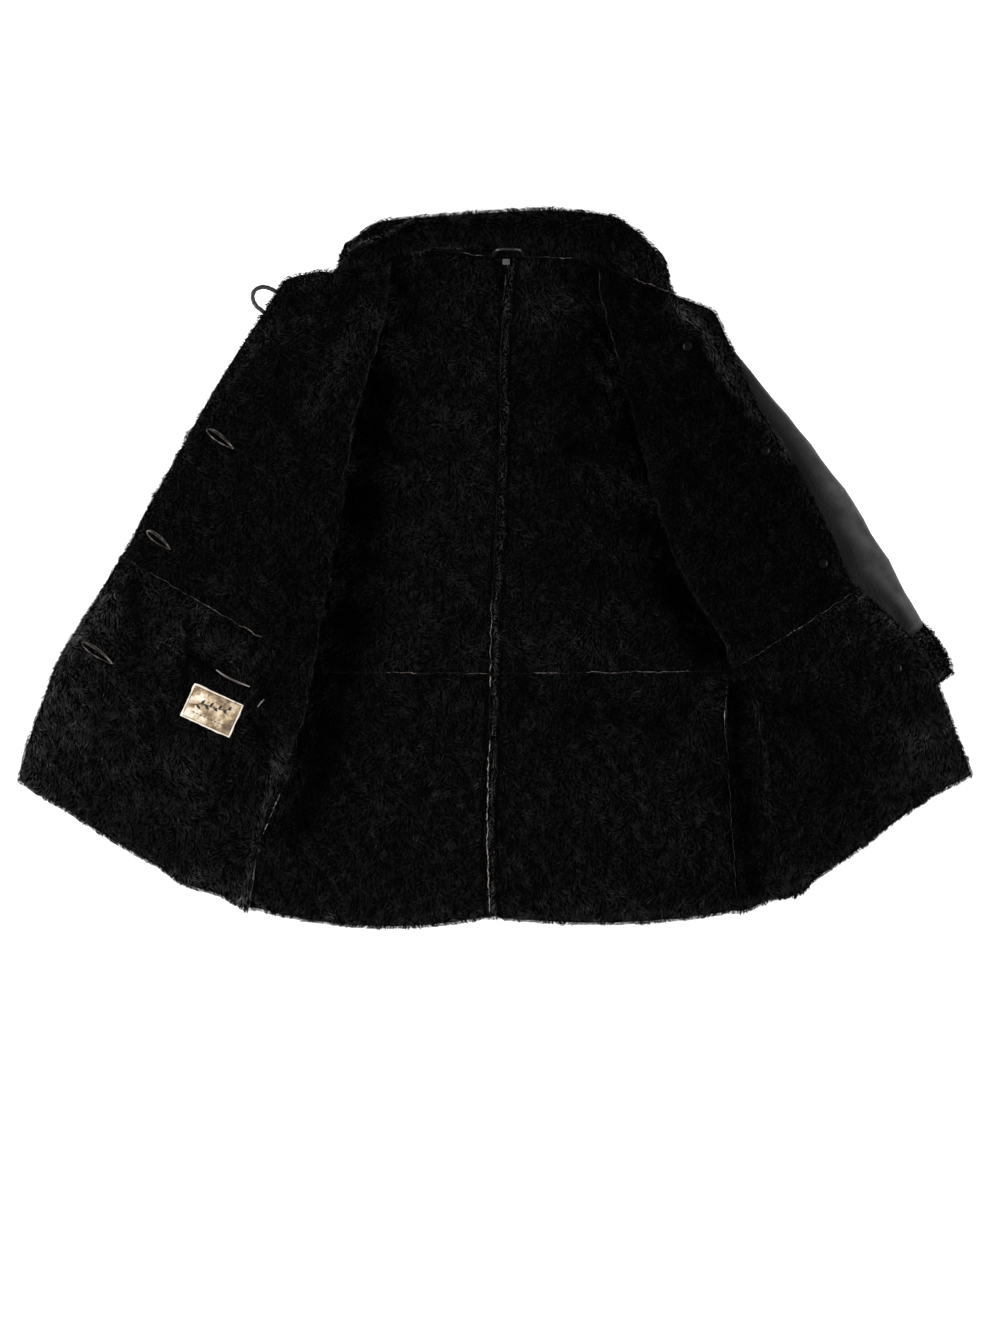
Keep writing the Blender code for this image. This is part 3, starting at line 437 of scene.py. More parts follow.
def bump_chain(tree, shader, heights):
    """Bump nodes one after the other, from (height socket, distance, strength) rows."""
    normal = None
    for height, distance, strength in heights:
        inputs = {"Height": height, "Distance": distance, "Strength": strength}
        if normal is not None:
            inputs["Normal"] = normal
        normal = add_node(tree, "ShaderNodeBump", inputs).outputs["Normal"]
    tree.links.new(normal, shader.inputs["Normal"])


def toned_colour(tree, shader, colour):
    """Base colour times the mesh's own tone."""
    tone = add_node(tree, "ShaderNodeAttribute", attribute_name="tone")
    scaled = add_node(tree, "ShaderNodeVectorMath", {0: colour, "Scale": tone.outputs["Fac"]},
                      operation="SCALE")
    tree.links.new(scaled.outputs["Vector"], shader.inputs["Base Color"])


def pile_material():
    """Loose tips of the pile: near black, darker at the root, with a dull gloss."""
    material, tree, shader = new_material("pile_black", 0.5, 0.02)
    toned_colour(tree, shader, (0.0092, 0.0090, 0.0091))
    return material


def wool_material():
    """Dense underwool between the tips."""
    material, tree, shader = new_material("underwool_black", 0.9, 0.02)
    place = object_coordinates(tree)
    fine = noise_node(tree, place, 900.0, 4.0, 0.7)
    locks = add_node(tree, "ShaderNodeTexVoronoi", {"Vector": place, "Scale": 240.0})
    colour_ramp(tree, shader, fine.outputs["Fac"], [(0.3, (0.0002,) * 3), (0.75, (0.0009,) * 3)])
    bump_chain(tree, shader, [(locks.outputs["Distance"], 1.2 * MM, 0.7),
                              (fine.outputs["Fac"], 0.6 * MM, 0.8)])
    return material


def leather_material(name, colour, roughness, grain, shine=0.5):
    """Smooth black leather: pebbled grain, finer pores and slightly uneven gloss."""
    material, tree, shader = new_material(name, specular=shine)
    place = object_coordinates(tree)
    pebble = add_node(tree, "ShaderNodeTexVoronoi", {"Vector": place, "Scale": grain})
    pores = noise_node(tree, place, grain * 3.5, 4.0, 0.65)
    clouds = noise_node(tree, place, 14.0, 2.0, 0.5)
    colour_ramp(tree, shader, clouds.outputs["Fac"], [
        (at, tuple(c * gain for c in colour)) for at, gain in ((0.3, 0.75), (0.7, 1.35))])
    gloss = range_node(tree, pores.outputs["Fac"], 0.3, 0.7, roughness - 0.05, roughness + 0.07)
    tree.links.new(gloss, shader.inputs["Roughness"])
    bump_chain(tree, shader, [(clouds.outputs["Fac"], 2.0 * MM, 0.25),
                              (pebble.outputs["Distance"], 0.45 * MM, 0.45),
                              (pores.outputs["Fac"], 0.25 * MM, 0.45)])
    return material


def sleeve_material():
    """Matt grained leather whose base colour follows the mesh's own tone, which carries painted
    light and shade.
    """
    material, tree, shader = new_material("sleeve_leather_black", 0.55, 0.12)
    place = object_coordinates(tree)
    pebble = add_node(tree, "ShaderNodeTexVoronoi", {"Vector": place, "Scale": 420.0})
    pores = noise_node(tree, place, 1100.0, 4.0, 0.7)
    clouds = noise_node(tree, place, 60.0, 3.0, 0.55)
    speckle = ramp_node(tree, pores.outputs["Fac"], [(0.3, (0.55,) * 3), (0.7, (1.45,) * 3)])
    patches = ramp_node(tree, clouds.outputs["Fac"], [(0.3, (0.016,) * 3), (0.7, (0.034,) * 3)])
    mixed = add_node(tree, "ShaderNodeVectorMath", {
        0: speckle.outputs["Color"], 1: patches.outputs["Color"]}, operation="MULTIPLY")
    toned_colour(tree, shader, mixed.outputs["Vector"])
    bump_chain(tree, shader, [(pebble.outputs["Distance"], 0.5 * MM, 0.5),
                              (pores.outputs["Fac"], 0.3 * MM, 0.5)])
    return material


def gloss_material(name, colour, roughness):
    """Polished horn-like plastic with faint marbling."""
    material, tree, shader = new_material(name, roughness, 0.06)
    marble = noise_node(tree, object_coordinates(tree), 350.0, 2.0, 0.5)
    colour_ramp(tree, shader, marble.outputs["Fac"], [
        (0.35, colour), (0.75, tuple(c * 2.2 for c in colour))])
    return material


def toned_leather(name, colour, roughness, specular, scale, depth, strength):
    """Bare skin whose base colour follows the mesh's own tone, with a fine grain; on the buttonhole
    lips and the fold glints that tone carries painted highlights.
    """
    material, tree, shader = new_material(name, roughness, specular)
    grain = noise_node(tree, object_coordinates(tree), scale, 3.0, 0.6)
    toned_colour(tree, shader, colour)
    bump_chain(tree, shader, [(grain.outputs["Fac"], depth * MM, strength)])
    return material


def satin_material():
    """Champagne satin: fine slanting weave, soft lustre, and worn brown towards one end."""
    material, tree, shader = new_material("label_satin", 0.42)
    place = object_coordinates(tree)
    turned = add_node(tree, "ShaderNodeMapping", {
        "Vector": place, "Location": (-LABEL_CENTRE[0] * MM, -LABEL_CENTRE[1] * MM, 0)})
    level = add_node(tree, "ShaderNodeVectorRotate", {
        "Vector": turned.outputs["Vector"], "Axis": (0, 0, 1), "Angle": -LABEL_TURN})
    weave = add_node(tree, "ShaderNodeTexWave", {
        "Vector": level.outputs["Vector"], "Scale": 900.0, "Distortion": 1.5, "Detail": 1.0})
    ribs = add_node(tree, "ShaderNodeTexWave", {
        "Vector": level.outputs["Vector"], "Scale": 700.0, "Distortion": 1.0},
        bands_direction="Y")
    clouds = noise_node(tree, level.outputs["Vector"], 90.0, 3.0, 0.6)
    across = add_node(tree, "ShaderNodeSeparateXYZ", {"Vector": level.outputs["Vector"]})
    worn = range_node(tree, across.outputs["X"], -4.0 * MM, LABEL_HALF[0] * MM, 0.0, 0.35)
    patches = range_node(tree, clouds.outputs["Fac"], 0.38, 0.62, 0.0, 0.85)
    inside = [range_node(tree, math_node(tree, "ABSOLUTE", across.outputs[axis]),
                         (half - 0.9) * MM, (half - 0.2) * MM, 1.0, 0.0)
              for axis, half in zip("XY", LABEL_HALF)]
    stain = math_node(tree, "MULTIPLY", math_node(tree, "ADD", worn, patches),
                      math_node(tree, "MULTIPLY", *inside))
    colour_ramp(tree, shader, stain, [
        (0.0, (0.62, 0.56, 0.47)), (0.15, (0.53, 0.44, 0.32)), (0.4, (0.39, 0.295, 0.175)),
        (0.6, (0.26, 0.175, 0.09)), (0.8, (0.15, 0.095, 0.045)), (1.0, (0.08, 0.045, 0.02))])
    shader.inputs["Sheen Weight"].default_value = 0.25
    bump_chain(tree, shader, [(clouds.outputs["Fac"], 2.0 * MM, 0.5),
                              (weave.outputs["Fac"], 0.12 * MM, 0.4),
                              (ribs.outputs["Fac"], 0.1 * MM, 0.3)])
    return material


def thread_material(name, colour):
    material, tree, shader = new_material(name, 0.55)
    twist = noise_node(tree, object_coordinates(tree), 2500.0, 1.0, 0.5)
    colour_ramp(tree, shader, twist.outputs["Fac"], [
        (0.3, tuple(c * 0.6 for c in colour)), (0.7, colour)])
    bump_chain(tree, shader, [(twist.outputs["Fac"], 0.1 * MM, 0.5)])
    return material


# ---------------------------------------------------------------- forms from the frame

def welded(node, flat):
    """The CAD solid as a clean editable mesh."""
    form = bmesh.new()
    form.from_mesh(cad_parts[node].data)
    bmesh.ops.remove_doubles(form, verts=form.verts, dist=0.01 * MM)
    if flat:
        bmesh.ops.dissolve_limit(form, angle_limit=math.radians(0.5), verts=form.verts,
                                 edges=form.edges)
        low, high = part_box(node)
        for axis in (0, 1):
            direction = Vector((1 - axis, axis, 0))
            for k in range(math.ceil(low[axis] / FLAT_CELL),
                           math.floor(high[axis] / FLAT_CELL) + 1):
                bmesh.ops.bisect_plane(form, geom=form.verts[:] + form.edges[:] + form.faces[:],
                                       dist=0.2 * MM, plane_co=direction * k * FLAT_CELL,
                                       plane_no=direction)
        bmesh.ops.triangulate(form, faces=[f for f in form.faces if len(f.verts) > 4])
    bmesh.ops.join_triangles(form, faces=form.faces, cmp_seam=False, cmp_sharp=False,
                             cmp_uvs=False, cmp_vcols=False, cmp_materials=False,
                             angle_face_threshold=math.radians(40),
                             angle_shape_threshold=math.radians(70))
    return form


def label_sides(form):
    """Face material 0 on the pile side, 1 on the leather side and 2 on the rims."""
    seen = set()
    groups = []
    for face in form.faces:
        if face in seen:
            continue
        group = []
        stack = [face]
        seen.add(face)
        while stack:
            member = stack.pop()
            group.append(member)
            for edge in member.edges:
                if edge.calc_face_angle(0.0) <= RIM_ANGLE:
                    new = [other for other in edge.link_faces if other not in seen]
                    seen.update(new)
                    stack += new
        area = sum(f.calc_area() for f in group)
        height = sum(f.calc_area() * f.calc_center_median().z for f in group) / area
        groups.append((area, height, group))
    largest = sorted(groups, key=lambda row: -row[0])[:2]
    for face in form.faces:
        face.material_index = 2
    for index, (_, _, group) in enumerate(sorted(largest, key=lambda row: -row[1])):
        for face in group:
            face.material_index = index


def label_tube(form, walls):
    """The same on a tube: 0 outside, 1 inside, 2 on its ends."""
    for face in form.faces:
        start = face.calc_center_median() + face.normal * 0.5 * MM
        facing = walls.ray_cast(start, face.normal, 60 * MM)[0] is not None
        sharp = sum(edge.calc_face_angle(0.0) > RIM_ANGLE for edge in face.edges)
        at_end = sharp >= 2 and face.calc_area() < END_FACE and not facing
        face.material_index = 2 if at_end else int(facing)


def read_rows(rows, key, size, kind):
    values = np.zeros(size, dtype=kind)
    rows.foreach_get(key, values)
    return values


def refined(form, name, levels, rim_angle=RIM_ANGLE):
    """Smooth dense mesh of a form, with sharp rims, as (points, quads, side of each quad)."""
    crease = form.edges.layers.float.new("crease_edge")
    for edge in form.edges:
        if edge.calc_face_angle(0.0) > rim_angle:
            edge[crease] = 1.0
    mesh = bpy.data.meshes.new(name)
    form.to_mesh(mesh)
    form.free()
    guide = bpy.data.objects.new(name + "_guide", mesh)
    bpy.context.scene.collection.objects.link(guide)
    smooth = guide.modifiers.new("smooth", "SUBSURF")
    smooth.levels = levels
    smooth.render_levels = levels
    dense = bpy.data.meshes.new_from_object(
        guide.evaluated_get(bpy.context.evaluated_depsgraph_get()))
    bpy.data.objects.remove(guide)
    points = read_rows(dense.vertices, "co", len(dense.vertices) * 3, float)
    quads = read_rows(dense.loops, "vertex_index", len(dense.loops), int)
    side = read_rows(dense.polygons, "material_index", len(dense.polygons), int)
    bpy.data.meshes.remove(dense)
    return points.reshape(-1, 3), quads.reshape(-1, 4), side


def vertex_normals(points, quads):
    """Area-weighted unit normals; zero where a point touches none of the quads."""
    total = np.zeros_like(points)
    a, b, c, d = (points[quads[:, k]] for k in range(4))
    normals = np.cross(c - a, d - b) / 2
    for corner in range(4):
        np.add.at(total, quads[:, corner], normals)
    return unit(total)


def tree_over(names):
    """One BVH over several CAD nodes."""
    points, faces = [], []
    for name in names:
        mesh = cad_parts[name].data
        base = len(points)
        points += [v.co.copy() for v in mesh.vertices]
        faces += [tuple(base + i for i in p.vertices) for p in mesh.polygons]
    return BVHTree.FromPolygons(points, faces)


def tree_of_mesh(points, quads):
    return BVHTree.FromPolygons([Vector(p) for p in points], quads.tolist())


def partners_of(node):
    return [b if a == node else a for a, b in SEAMS if node in (a, b)]


def add_piece(name, points, faces, materials, slot, indices=None, replaced=None, tone=None):
    """A mesh object on the coat's body, in place of a CAD node where one is named."""
    mesh = bpy.data.meshes.new(name)
    faces = np.asarray(faces)
    corners = faces.shape[1]
    mesh.vertices.add(len(points))
    mesh.vertices.foreach_set("co", np.asarray(points, dtype=np.float32).ravel())
    mesh.loops.add(faces.size)
    mesh.loops.foreach_set("vertex_index", faces.astype(np.int32).ravel())
    mesh.polygons.add(len(faces))
    mesh.polygons.foreach_set("loop_start", np.arange(0, faces.size, corners, dtype=np.int32))
    if indices is not None:
        mesh.polygons.foreach_set("material_index", np.asarray(indices, dtype=np.int32))
    mesh.update(calc_edges=True)
    mesh.validate()
    mesh.shade_smooth()
    for material in materials:
        mesh.materials.append(material)
    if tone is not None:
        layer = mesh.attributes.new("tone", "FLOAT", "POINT")
        layer.data.foreach_set("value", np.asarray(tone, dtype=np.float32))
    piece = bpy.data.objects.new(name, mesh)
    bpy.context.scene.collection.objects.link(piece)
    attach(piece, "root")
    if replaced:
        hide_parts(replaced)
    return piece


# ---------------------------------------------------------------- skins and underwool

def sky_rays():
    """Directions from which light reaches the pile: mostly low from both sides, few from above."""
    rays = []
    for rise, turns in ((22, 10), (42, 8), (70, 4)):
        for k in range(turns):
            turn = 2 * math.pi * (k + 0.5) / turns
            tilt = math.radians(rise)
            rays.append(Vector((math.cos(turn) * math.cos(tilt), math.sin(turn) * math.cos(tilt),
                                math.sin(tilt))))
    weights = np.array([0.4 + abs(ray.x) for ray in rays])
    return rays, weights / weights.sum()


def openness(points, normals, shade):
    """Share of the light's directions that no other layer blocks."""
    rays, weights = sky_rays()
    share = np.zeros(len(points))
    for index, (place, normal) in enumerate(zip(points, normals)):
        start = Vector(place + normal * 2.0 * MM)
        for ray, weight in zip(rays, weights):
            if shade.ray_cast(start, ray, SKY_REACH)[0] is None:
                share[index] += weight
    return share


class Panel:
    """A pile-covered piece: its dense form, its lowered underwool and its sewn borders."""

    def __init__(self, node, shade):
        self.node = node
        flat = node.startswith("back")
        form = welded(node, flat)
        if node.startswith("cuff"):
            label_tube(form, tree_over([node]))
        else:
            label_sides(form)
        crease_from = math.pi if node.startswith("cuff") else RIM_ANGLE
        points, self.quads, self.side = refined(form, node, 1 if flat else 2, crease_from)
        partners = partners_of(node)
        side = node.rsplit("_", 1)[1] if not partners else ""
        others = tree_over(partners or ["sleeve_top_" + side, "sleeve_under_" + side])
        leather = tree_of_mesh(points, self.quads[self.side == 1])
        near = np.zeros(len(points), dtype=bool)
        depth = np.full(len(points), CLOTH)
        from_leather = np.zeros_like(points)
        for index in np.unique(self.quads[self.side != 1]):
            place = Vector(points[index])
            near[index] = others.find_nearest(place, SEWN_REACH)[0] is not None
            if near[index]:
                foot, _, _, depth[index] = leather.find_nearest(place)
                from_leather[index] = place - foot
        soft_rim = near[self.quads].all(axis=1) & (depth[self.quads].min(axis=1) < 0.75 * CLOTH)
        self.side[soft_rim & (self.side == 0)] = 2
        self.normals = vertex_normals(points, self.quads[self.side != 1])
        pile_normal = vertex_normals(points, self.quads[self.side == 0])
        rim_normal = vertex_normals(points, self.quads[self.side == 2])
        on_rim = np.linalg.norm(rim_normal, axis=1) > 0.5
        on_pile = np.linalg.norm(pile_normal, axis=1) > 0.5
        sewn = on_rim & near
        self.sewn = sewn
        along = on_rim & on_pile & sewn & bool(partners)
        drop_way = pile_normal.copy()
        drop_way[along] = unit(from_leather[along])
        self.border = points[along]
        self.border_up = drop_way[along]
        self.seam_tree = tree_of_points(self.border)
        self.free_tree = tree_of_points(points[on_rim & on_pile & ~near])
        self.open_sky = np.zeros(len(points))
        lit = np.linalg.norm(self.normals, axis=1) > 0.5
        self.open_sky[lit] = openness(points[lit], self.normals[lit], shade)

        rise = relief(points, CREASES, node)
        uneven = 0.8 * MM * ripple(points, 26 * MM, 5) + 0.5 * MM * ripple(points, 9 * MM, 6)
        moved = points + drop_way * (rise - (PILE_FREE + uneven) * on_pile)[:, None]
        moved -= rim_normal * np.where(sewn, SEAM_INSET, EDGE_FREE)[:, None]
        if not partners:
            reach = np.array([others.find_nearest(Vector(p))[3] for p in points])
            way = points[near].mean(axis=0) - points.mean(axis=0)
            moved += np.exp(-(reach / CUFF_FADE)**2)[:, None] * way / np.linalg.norm(way) * CUFF_LAP
        for pieces, line, half_width, way in SHIFTS:
            if node in pieces:
                moved[:, :2] += beside(points, line, half_width)[:, None] * np.array(way) * MM
        moved[:, 2] = np.maximum(moved[:, 2], 0.0)
        self.points = moved

    def build_body(self, materials):
        self.body = add_piece(self.node + "_skin", self.points, self.quads, materials,
                              "pile_black", self.side, self.node)

    def surface(self):
        return tree_of_mesh(self.points, self.quads)


def tree_of_points(points):
    if len(points) == 0:
        return None
    tree = KDTree(len(points))
    for index, place in enumerate(points):
        tree.insert(place, index)
    tree.balance()
    return tree


# ---------------------------------------------------------------- pile

def sample_quads(panel, chosen, weight, spacing, source):
    """Random roots on chosen quads: place, normal, how open the sky is, and whether on a rim."""
    quads = panel.quads[chosen]
    triangles = np.vstack([quads[:, [0, 1, 2]], quads[:, [0, 2, 3]]])
    weight = np.tile(weight, 2)
    a, b, c = (panel.points[triangles[:, k]] for k in range(3))
    area = np.linalg.norm(np.cross(b - a, c - a), axis=1) / 2 * weight
    count = int(area.sum() / spacing**2)
    picked = source.choice(len(area), size=count, p=area / area.sum())
    u, v = source.random(count), source.random(count)
    flip = u + v > 1
    u[flip], v[flip] = 1 - u[flip], 1 - v[flip]
    shares = np.stack([1 - u - v, u, v], axis=1)
    corners = triangles[picked]
    place = (panel.points[corners] * shares[:, :, None]).sum(axis=1)
    normal = unit((panel.normals[corners] * shares[:, :, None]).sum(axis=1))
    sky = (panel.open_sky[corners] * shares).sum(axis=1)
    on_edge = panel.side[chosen[picked % len(chosen)]] == 2
    return place, normal, sky, on_edge


def lock_of(points, cell, seed):
    """The way from each point to its lock, the nearest of a jittered lattice, and its number."""
    best = np.full(len(points), np.inf)
    offset = np.zeros_like(points)
    number = np.zeros(len(points))
    base = np.floor(points / cell).astype(int)
    for step in np.ndindex(3, 3, 3):
        index = base + np.array(step) - 1
        mixed = (index[:, 0] * 73856093) ^ (index[:, 1] * 19349663) ^ (
            index[:, 2] * 83492791) ^ seed
        jitter = np.stack([((mixed >> shift) & 1023) / 1023 for shift in (3, 11, 19)], axis=1)
        delta = (index + 0.15 + 0.7 * jitter) * cell - points
        distance = (delta**2).sum(axis=1)
        nearer = distance < best
        best[nearer] = distance[nearer]
        offset[nearer] = delta[nearer]
        number[nearer] = ((mixed[nearer] >> 7) & 4095) / 4095
    return offset, number


def grows(place):
    """False where something lies on the pile, and so nothing grows."""
    keep = np.ones(len(place), dtype=bool)
    for line, half_width in BALD_LINES:
        keep &= line_distance(place, line)[0] > half_width * MM
    local = (place[:, :2] / MM - LABEL_CENTRE) @ LABEL_AXES
    return keep & ~(np.abs(local) < LABEL_HALF).all(axis=1)


def flat_part(vectors, normal):
    return vectors - normal * (vectors * normal).sum(axis=1)[:, None]


def edge_distance(panel, place):
    """How far each place is from the piece's nearest free edge."""
    if panel.free_tree is None:
        return np.full(len(place), 1.0)
    return np.array([panel.free_tree.find(p)[2] for p in place])


def grow_pile(panel, spacing, shade, material, seed):
    """Blades of pile on a panel's pile side and on the edges that show."""
    source = np.random.default_rng(seed)
    quads, side = panel.quads, panel.side
    sewn_rim = panel.sewn[quads].all(axis=1) & (side == 2)
    chosen = np.nonzero((side != 1) & ~sewn_rim)[0]
    centres = panel.points[quads[chosen]].mean(axis=1)
    facing = unit(panel.normals[quads[chosen]].sum(axis=1))
    weight = np.ones(len(chosen))
    for k, (centre, normal) in enumerate(zip(centres, facing)):
        if shade.ray_cast(Vector(centre + normal * 8.0 * MM), Vector((0, 0, 1)))[0] is not None:
            weight[k] = HIDDEN_SHARE
    weight[side[chosen] == 2] *= RIM_SHARE
    place, normal, sky, on_edge = sample_quads(panel, chosen, weight, spacing, source)
    keep = grows(place)
    place, normal, sky, on_edge = place[keep], normal[keep], sky[keep], on_edge[keep]
    count = len(place)

    parted = np.ones(count)
    away = np.zeros((count, 3))
    if panel.seam_tree is not None:
        for k in range(count):
            seam_point, _, distance = panel.seam_tree.find(place[k])
            if distance < 3 * PARTING:
                parted[k] = distance / (3 * PARTING)
                away[k] = place[k] - np.array(seam_point)
    parted = smooth_step(parted * 1.6)

    swirl = 0.75 * ripple(place, 55 * MM, 21) + 0.42 * ripple(place, 17 * MM, 22)
    swirl += source.normal(0, 0.3, count)
    lie = np.stack([np.sin(swirl), -np.cos(swirl), np.zeros(count)], axis=1)
    lie = unit(flat_part(lie, normal))
    lie = unit(lie + unit(flat_part(away, normal)) * ((1 - parted) * 1.4)[:, None])

    way_to_lock, lock = lock_of(place, LOCK_CELL, 977)
    tone = np.full(count, PIECE_PAINTED_LIGHT_AND_TONE[panel.node])
    mottle = 0.22 if "lower" in panel.node else 0.12
    tone *= np.exp(0.15 * ripple(place, 48 * MM, 31) + mottle * ripple(place, 17 * MM, 32))
    tone *= np.exp(0.55 * (lock - 0.5) + 0.45 * source.standard_normal(count))
    # Painted highlight: steep pile at folds and rolls, seen edge-on, is painted lighter where it
    # would catch the side lights
    tone *= 1 + 1.1 * smooth_step(1 - np.abs(normal[:, 2]) / 0.8) * ~on_edge
    # Painted shade: darker where other layers block the light
    tone *= 0.45 + 0.55 * np.clip(sky * 1.5, 0, 1)**1.6
    # Painted light along the free edges
    tone *= 1 + EDGE_PAINTED_LIGHT * bell(edge_distance(panel, place), EDGE_REACH)
    # Painted shade in the groove where the pile parts at a seam
    tone *= 0.55 + 0.45 * parted
    length = BLADE_LENGTH * (1 + 0.16 * source.standard_normal(count))
    length *= 1 + 0.14 * ripple(place, 12 * MM, 23)
    length *= 0.5 + 0.5 * parted
    length[on_edge] *= EDGE_PILE
    # Painted light and shade from the table
    for pieces, line, half_width, gain in PAINTED_LIGHT_AND_SHADE:
        if panel.node in pieces:
            tone *= 1 + (gain - 1) * beside(place, line, half_width)
    rise = np.zeros(count)
    for pieces, line, half_width, gain, lift, stretch, combing in STREAKS:
        if panel.node in pieces:
            distance, heading = line_distance(place, line)
            share = bell(distance, half_width)
            # Painted light or shade along the line
            tone *= 1 + (gain - 1) * share
            length *= 1 + (stretch - 1) * share
            rise += lift * MM * share
            lie = unit(lie + flat_part(heading, normal) * (combing * 2 * share)[:, None])
    place = place + normal * rise[:, None]

    roll = source.normal(0, 0.5, count)[:, None]
    width_way = np.cross(normal, lie) * np.cos(roll) + normal * np.sin(roll)
    first = (0.5 + 0.22 * source.standard_normal(count))[:, None]
    second = (1.15 + 0.25 * source.standard_normal(count))[:, None]
    half = length[:, None] / 2
    gather = flat_part(way_to_lock, normal)
    middle = place + half * (normal * np.cos(first) + lie * np.sin(first))
    tip = middle + half * (normal * np.cos(second) + lie * np.sin(second)) + gather * 0.5
    middle = middle + gather * 0.2
    half_width = BLADE_WIDTH / 2 * (1 + 0.2 * source.standard_normal(count))[:, None]
    points = np.stack([place - width_way * half_width, place + width_way * half_width,
                       middle - width_way * half_width * 0.85,
                       middle + width_way * half_width * 0.85, tip], axis=1).reshape(-1, 3)
    points[:, 2] = np.maximum(points[:, 2], 0.2 * MM)
    base = np.arange(count)[:, None] * 5
    faces = np.concatenate([base + (0, 1, 3), base + (0, 3, 2), base + (2, 3, 4)])
    return add_piece(panel.node + "_pile", points, faces, [material], "pile_black",
                     tone=(tone[:, None] * np.array(BLADE_TONES)).ravel())


# ---------------------------------------------------------------- cords and tapes

def tube(path, up, half_width, half_height, sides=8):
    """Closed tube of oval section along a path, as (points, triangles)."""
    path = np.asarray(path, dtype=float)
    count = len(path)
    tangent = unit(np.gradient(path, axis=0))
    up = np.broadcast_to(np.asarray(up, dtype=float), path.shape)
    up = unit(flat_part(up, tangent))
    across = np.cross(tangent, up)
    angle = 2 * math.pi * np.arange(sides) / sides
    wide = np.broadcast_to(half_width, count)[:, None] * np.cos(angle)
    tall = np.broadcast_to(half_height, count)[:, None] * np.sin(angle)
    rings = path[:, None] + across[:, None] * wide[:, :, None] + up[:, None] * tall[:, :, None]
    points = np.vstack([rings.reshape(-1, 3), path[:1], path[-1:]])
    index = np.arange(count * sides).reshape(count, sides)
    ahead = np.roll(index, -1, axis=1)
    a, b, c, d = index[:-1], index[1:], ahead[1:], ahead[:-1]
    walls = np.concatenate([np.stack([a, b, c], axis=-1).reshape(-1, 3),
                            np.stack([a, c, d], axis=-1).reshape(-1, 3)])
    first, last = count * sides, count * sides + 1
    caps = [(first, index[0, k], ahead[0, k]) for k in range(sides)]
    caps += [(last, ahead[-1, k], index[-1, k]) for k in range(sides)]
    return points, np.vstack([walls, np.array(caps)])


def ring_tone(tone, sides=6):
    """The tone of a tube's points, from that of each place along it."""
    return np.append(np.repeat(tone, sides), [tone[0], tone[-1]])


def joined(parts):
    """Several (points, triangles) as one."""
    points, faces, base = [], [], 0
    for part_points, part_faces in parts:
        points.append(part_points)
        faces.append(part_faces + base)
        base += len(part_points)
    return np.vstack(points), np.vstack(faces)


def seam_path(first, second, facing, step=3.0 * MM):
    """Line midway between two sewn pile edges, with its up directions.

    The edges lie side by side, or one above the other where `facing` is set.
    """
    a, b = panels[first], panels[second]
    middles, ups = [], []
    for place, up in zip(a.border, a.border_up):
        other, index, distance = b.seam_tree.find(place)
        turned = np.dot(up, b.border_up[index]) <= -0.2
        if distance < 5 * MM and turned == facing:
            middles.append((place + np.array(other)) / 2)
            ups.append((0, 0, 1) if facing else up + b.border_up[index])
    if len(middles) < 6:
        return None
    middles, ups = np.array(middles), np.array(ups)
    centred = middles - middles.mean(axis=0)
    axis = np.linalg.svd(centred, full_matrices=False)[2][0]
    along = centred @ axis
    slots = np.round((along - along.min()) / step).astype(int)
    used = np.unique(slots)
    if len(used) < 4:
        return None
    path = np.array([middles[slots == k].mean(axis=0) for k in used])
    lift = unit(np.array([ups[slots == k].mean(axis=0) for k in used]))
    return smoothed(path, 2), lift


def bare_tone(first, second, path):
    """How light the cut skin is along a seam."""
    tone = np.full(len(path), BARE_TONE)
    axis, runs = BARE_RUNS.get((first, second), (0, ()))
    for start, stop, light in runs:
        low, high = sorted((start * MM, stop * MM))
        inside = np.minimum(path[:, axis] - low, high - path[:, axis])
        tone = np.maximum(tone, light**1.6 * smooth_step(inside / (3 * MM) + 0.5))
    broken = 0.35 * ripple(path, 9 * MM, 51) + 0.4 * ripple(path, 3.5 * MM, 52)
    return 0.75 * tone * np.clip(1 + broken, 0.1, 1.6)


def build_fold_line(side, line):
    """A thin broken line along a front's fold, between the tips: partly skin showing where the pile
    parts, partly a painted highlight where the crest catches the light.
    """
    front = np.vstack([panels[part + side].points for part in ("front_upper_", "front_lower_")])
    path = curve_through(np.array(line, dtype=float) * MM, 3 * MM)
    inward = 1.0 if side == "right" else -1.0
    crest = []
    for place in path:
        row = front[np.abs(front[:, 1] - place[1]) < 2.5 * MM]
        row = row[np.abs(row[:, 0] - place[0]) < 25 * MM]
        if len(row):
            edge = row[np.argmax(row[:, 0] * inward)]
            crest.append((edge[0] + inward * FOLD_REACH, place[1], edge[2] + 3 * MM))
    crest = smoothed(np.array(crest), 4)
    tone = 0.05 + 0.05 * ripple(crest, 22 * MM, 55) + 0.03 * ripple(crest, 5 * MM, 56)
    girth = 0.38 * MM * (1 + 0.25 * ripple(crest, 7 * MM, 57))
    add_piece("fold_glint_" + side, *tube(crest, UP, girth, girth, sides=6), [cut_skin_and_glint],
              "leather_black", tone=ring_tone(np.clip(tone, 0.01, 0.2)))


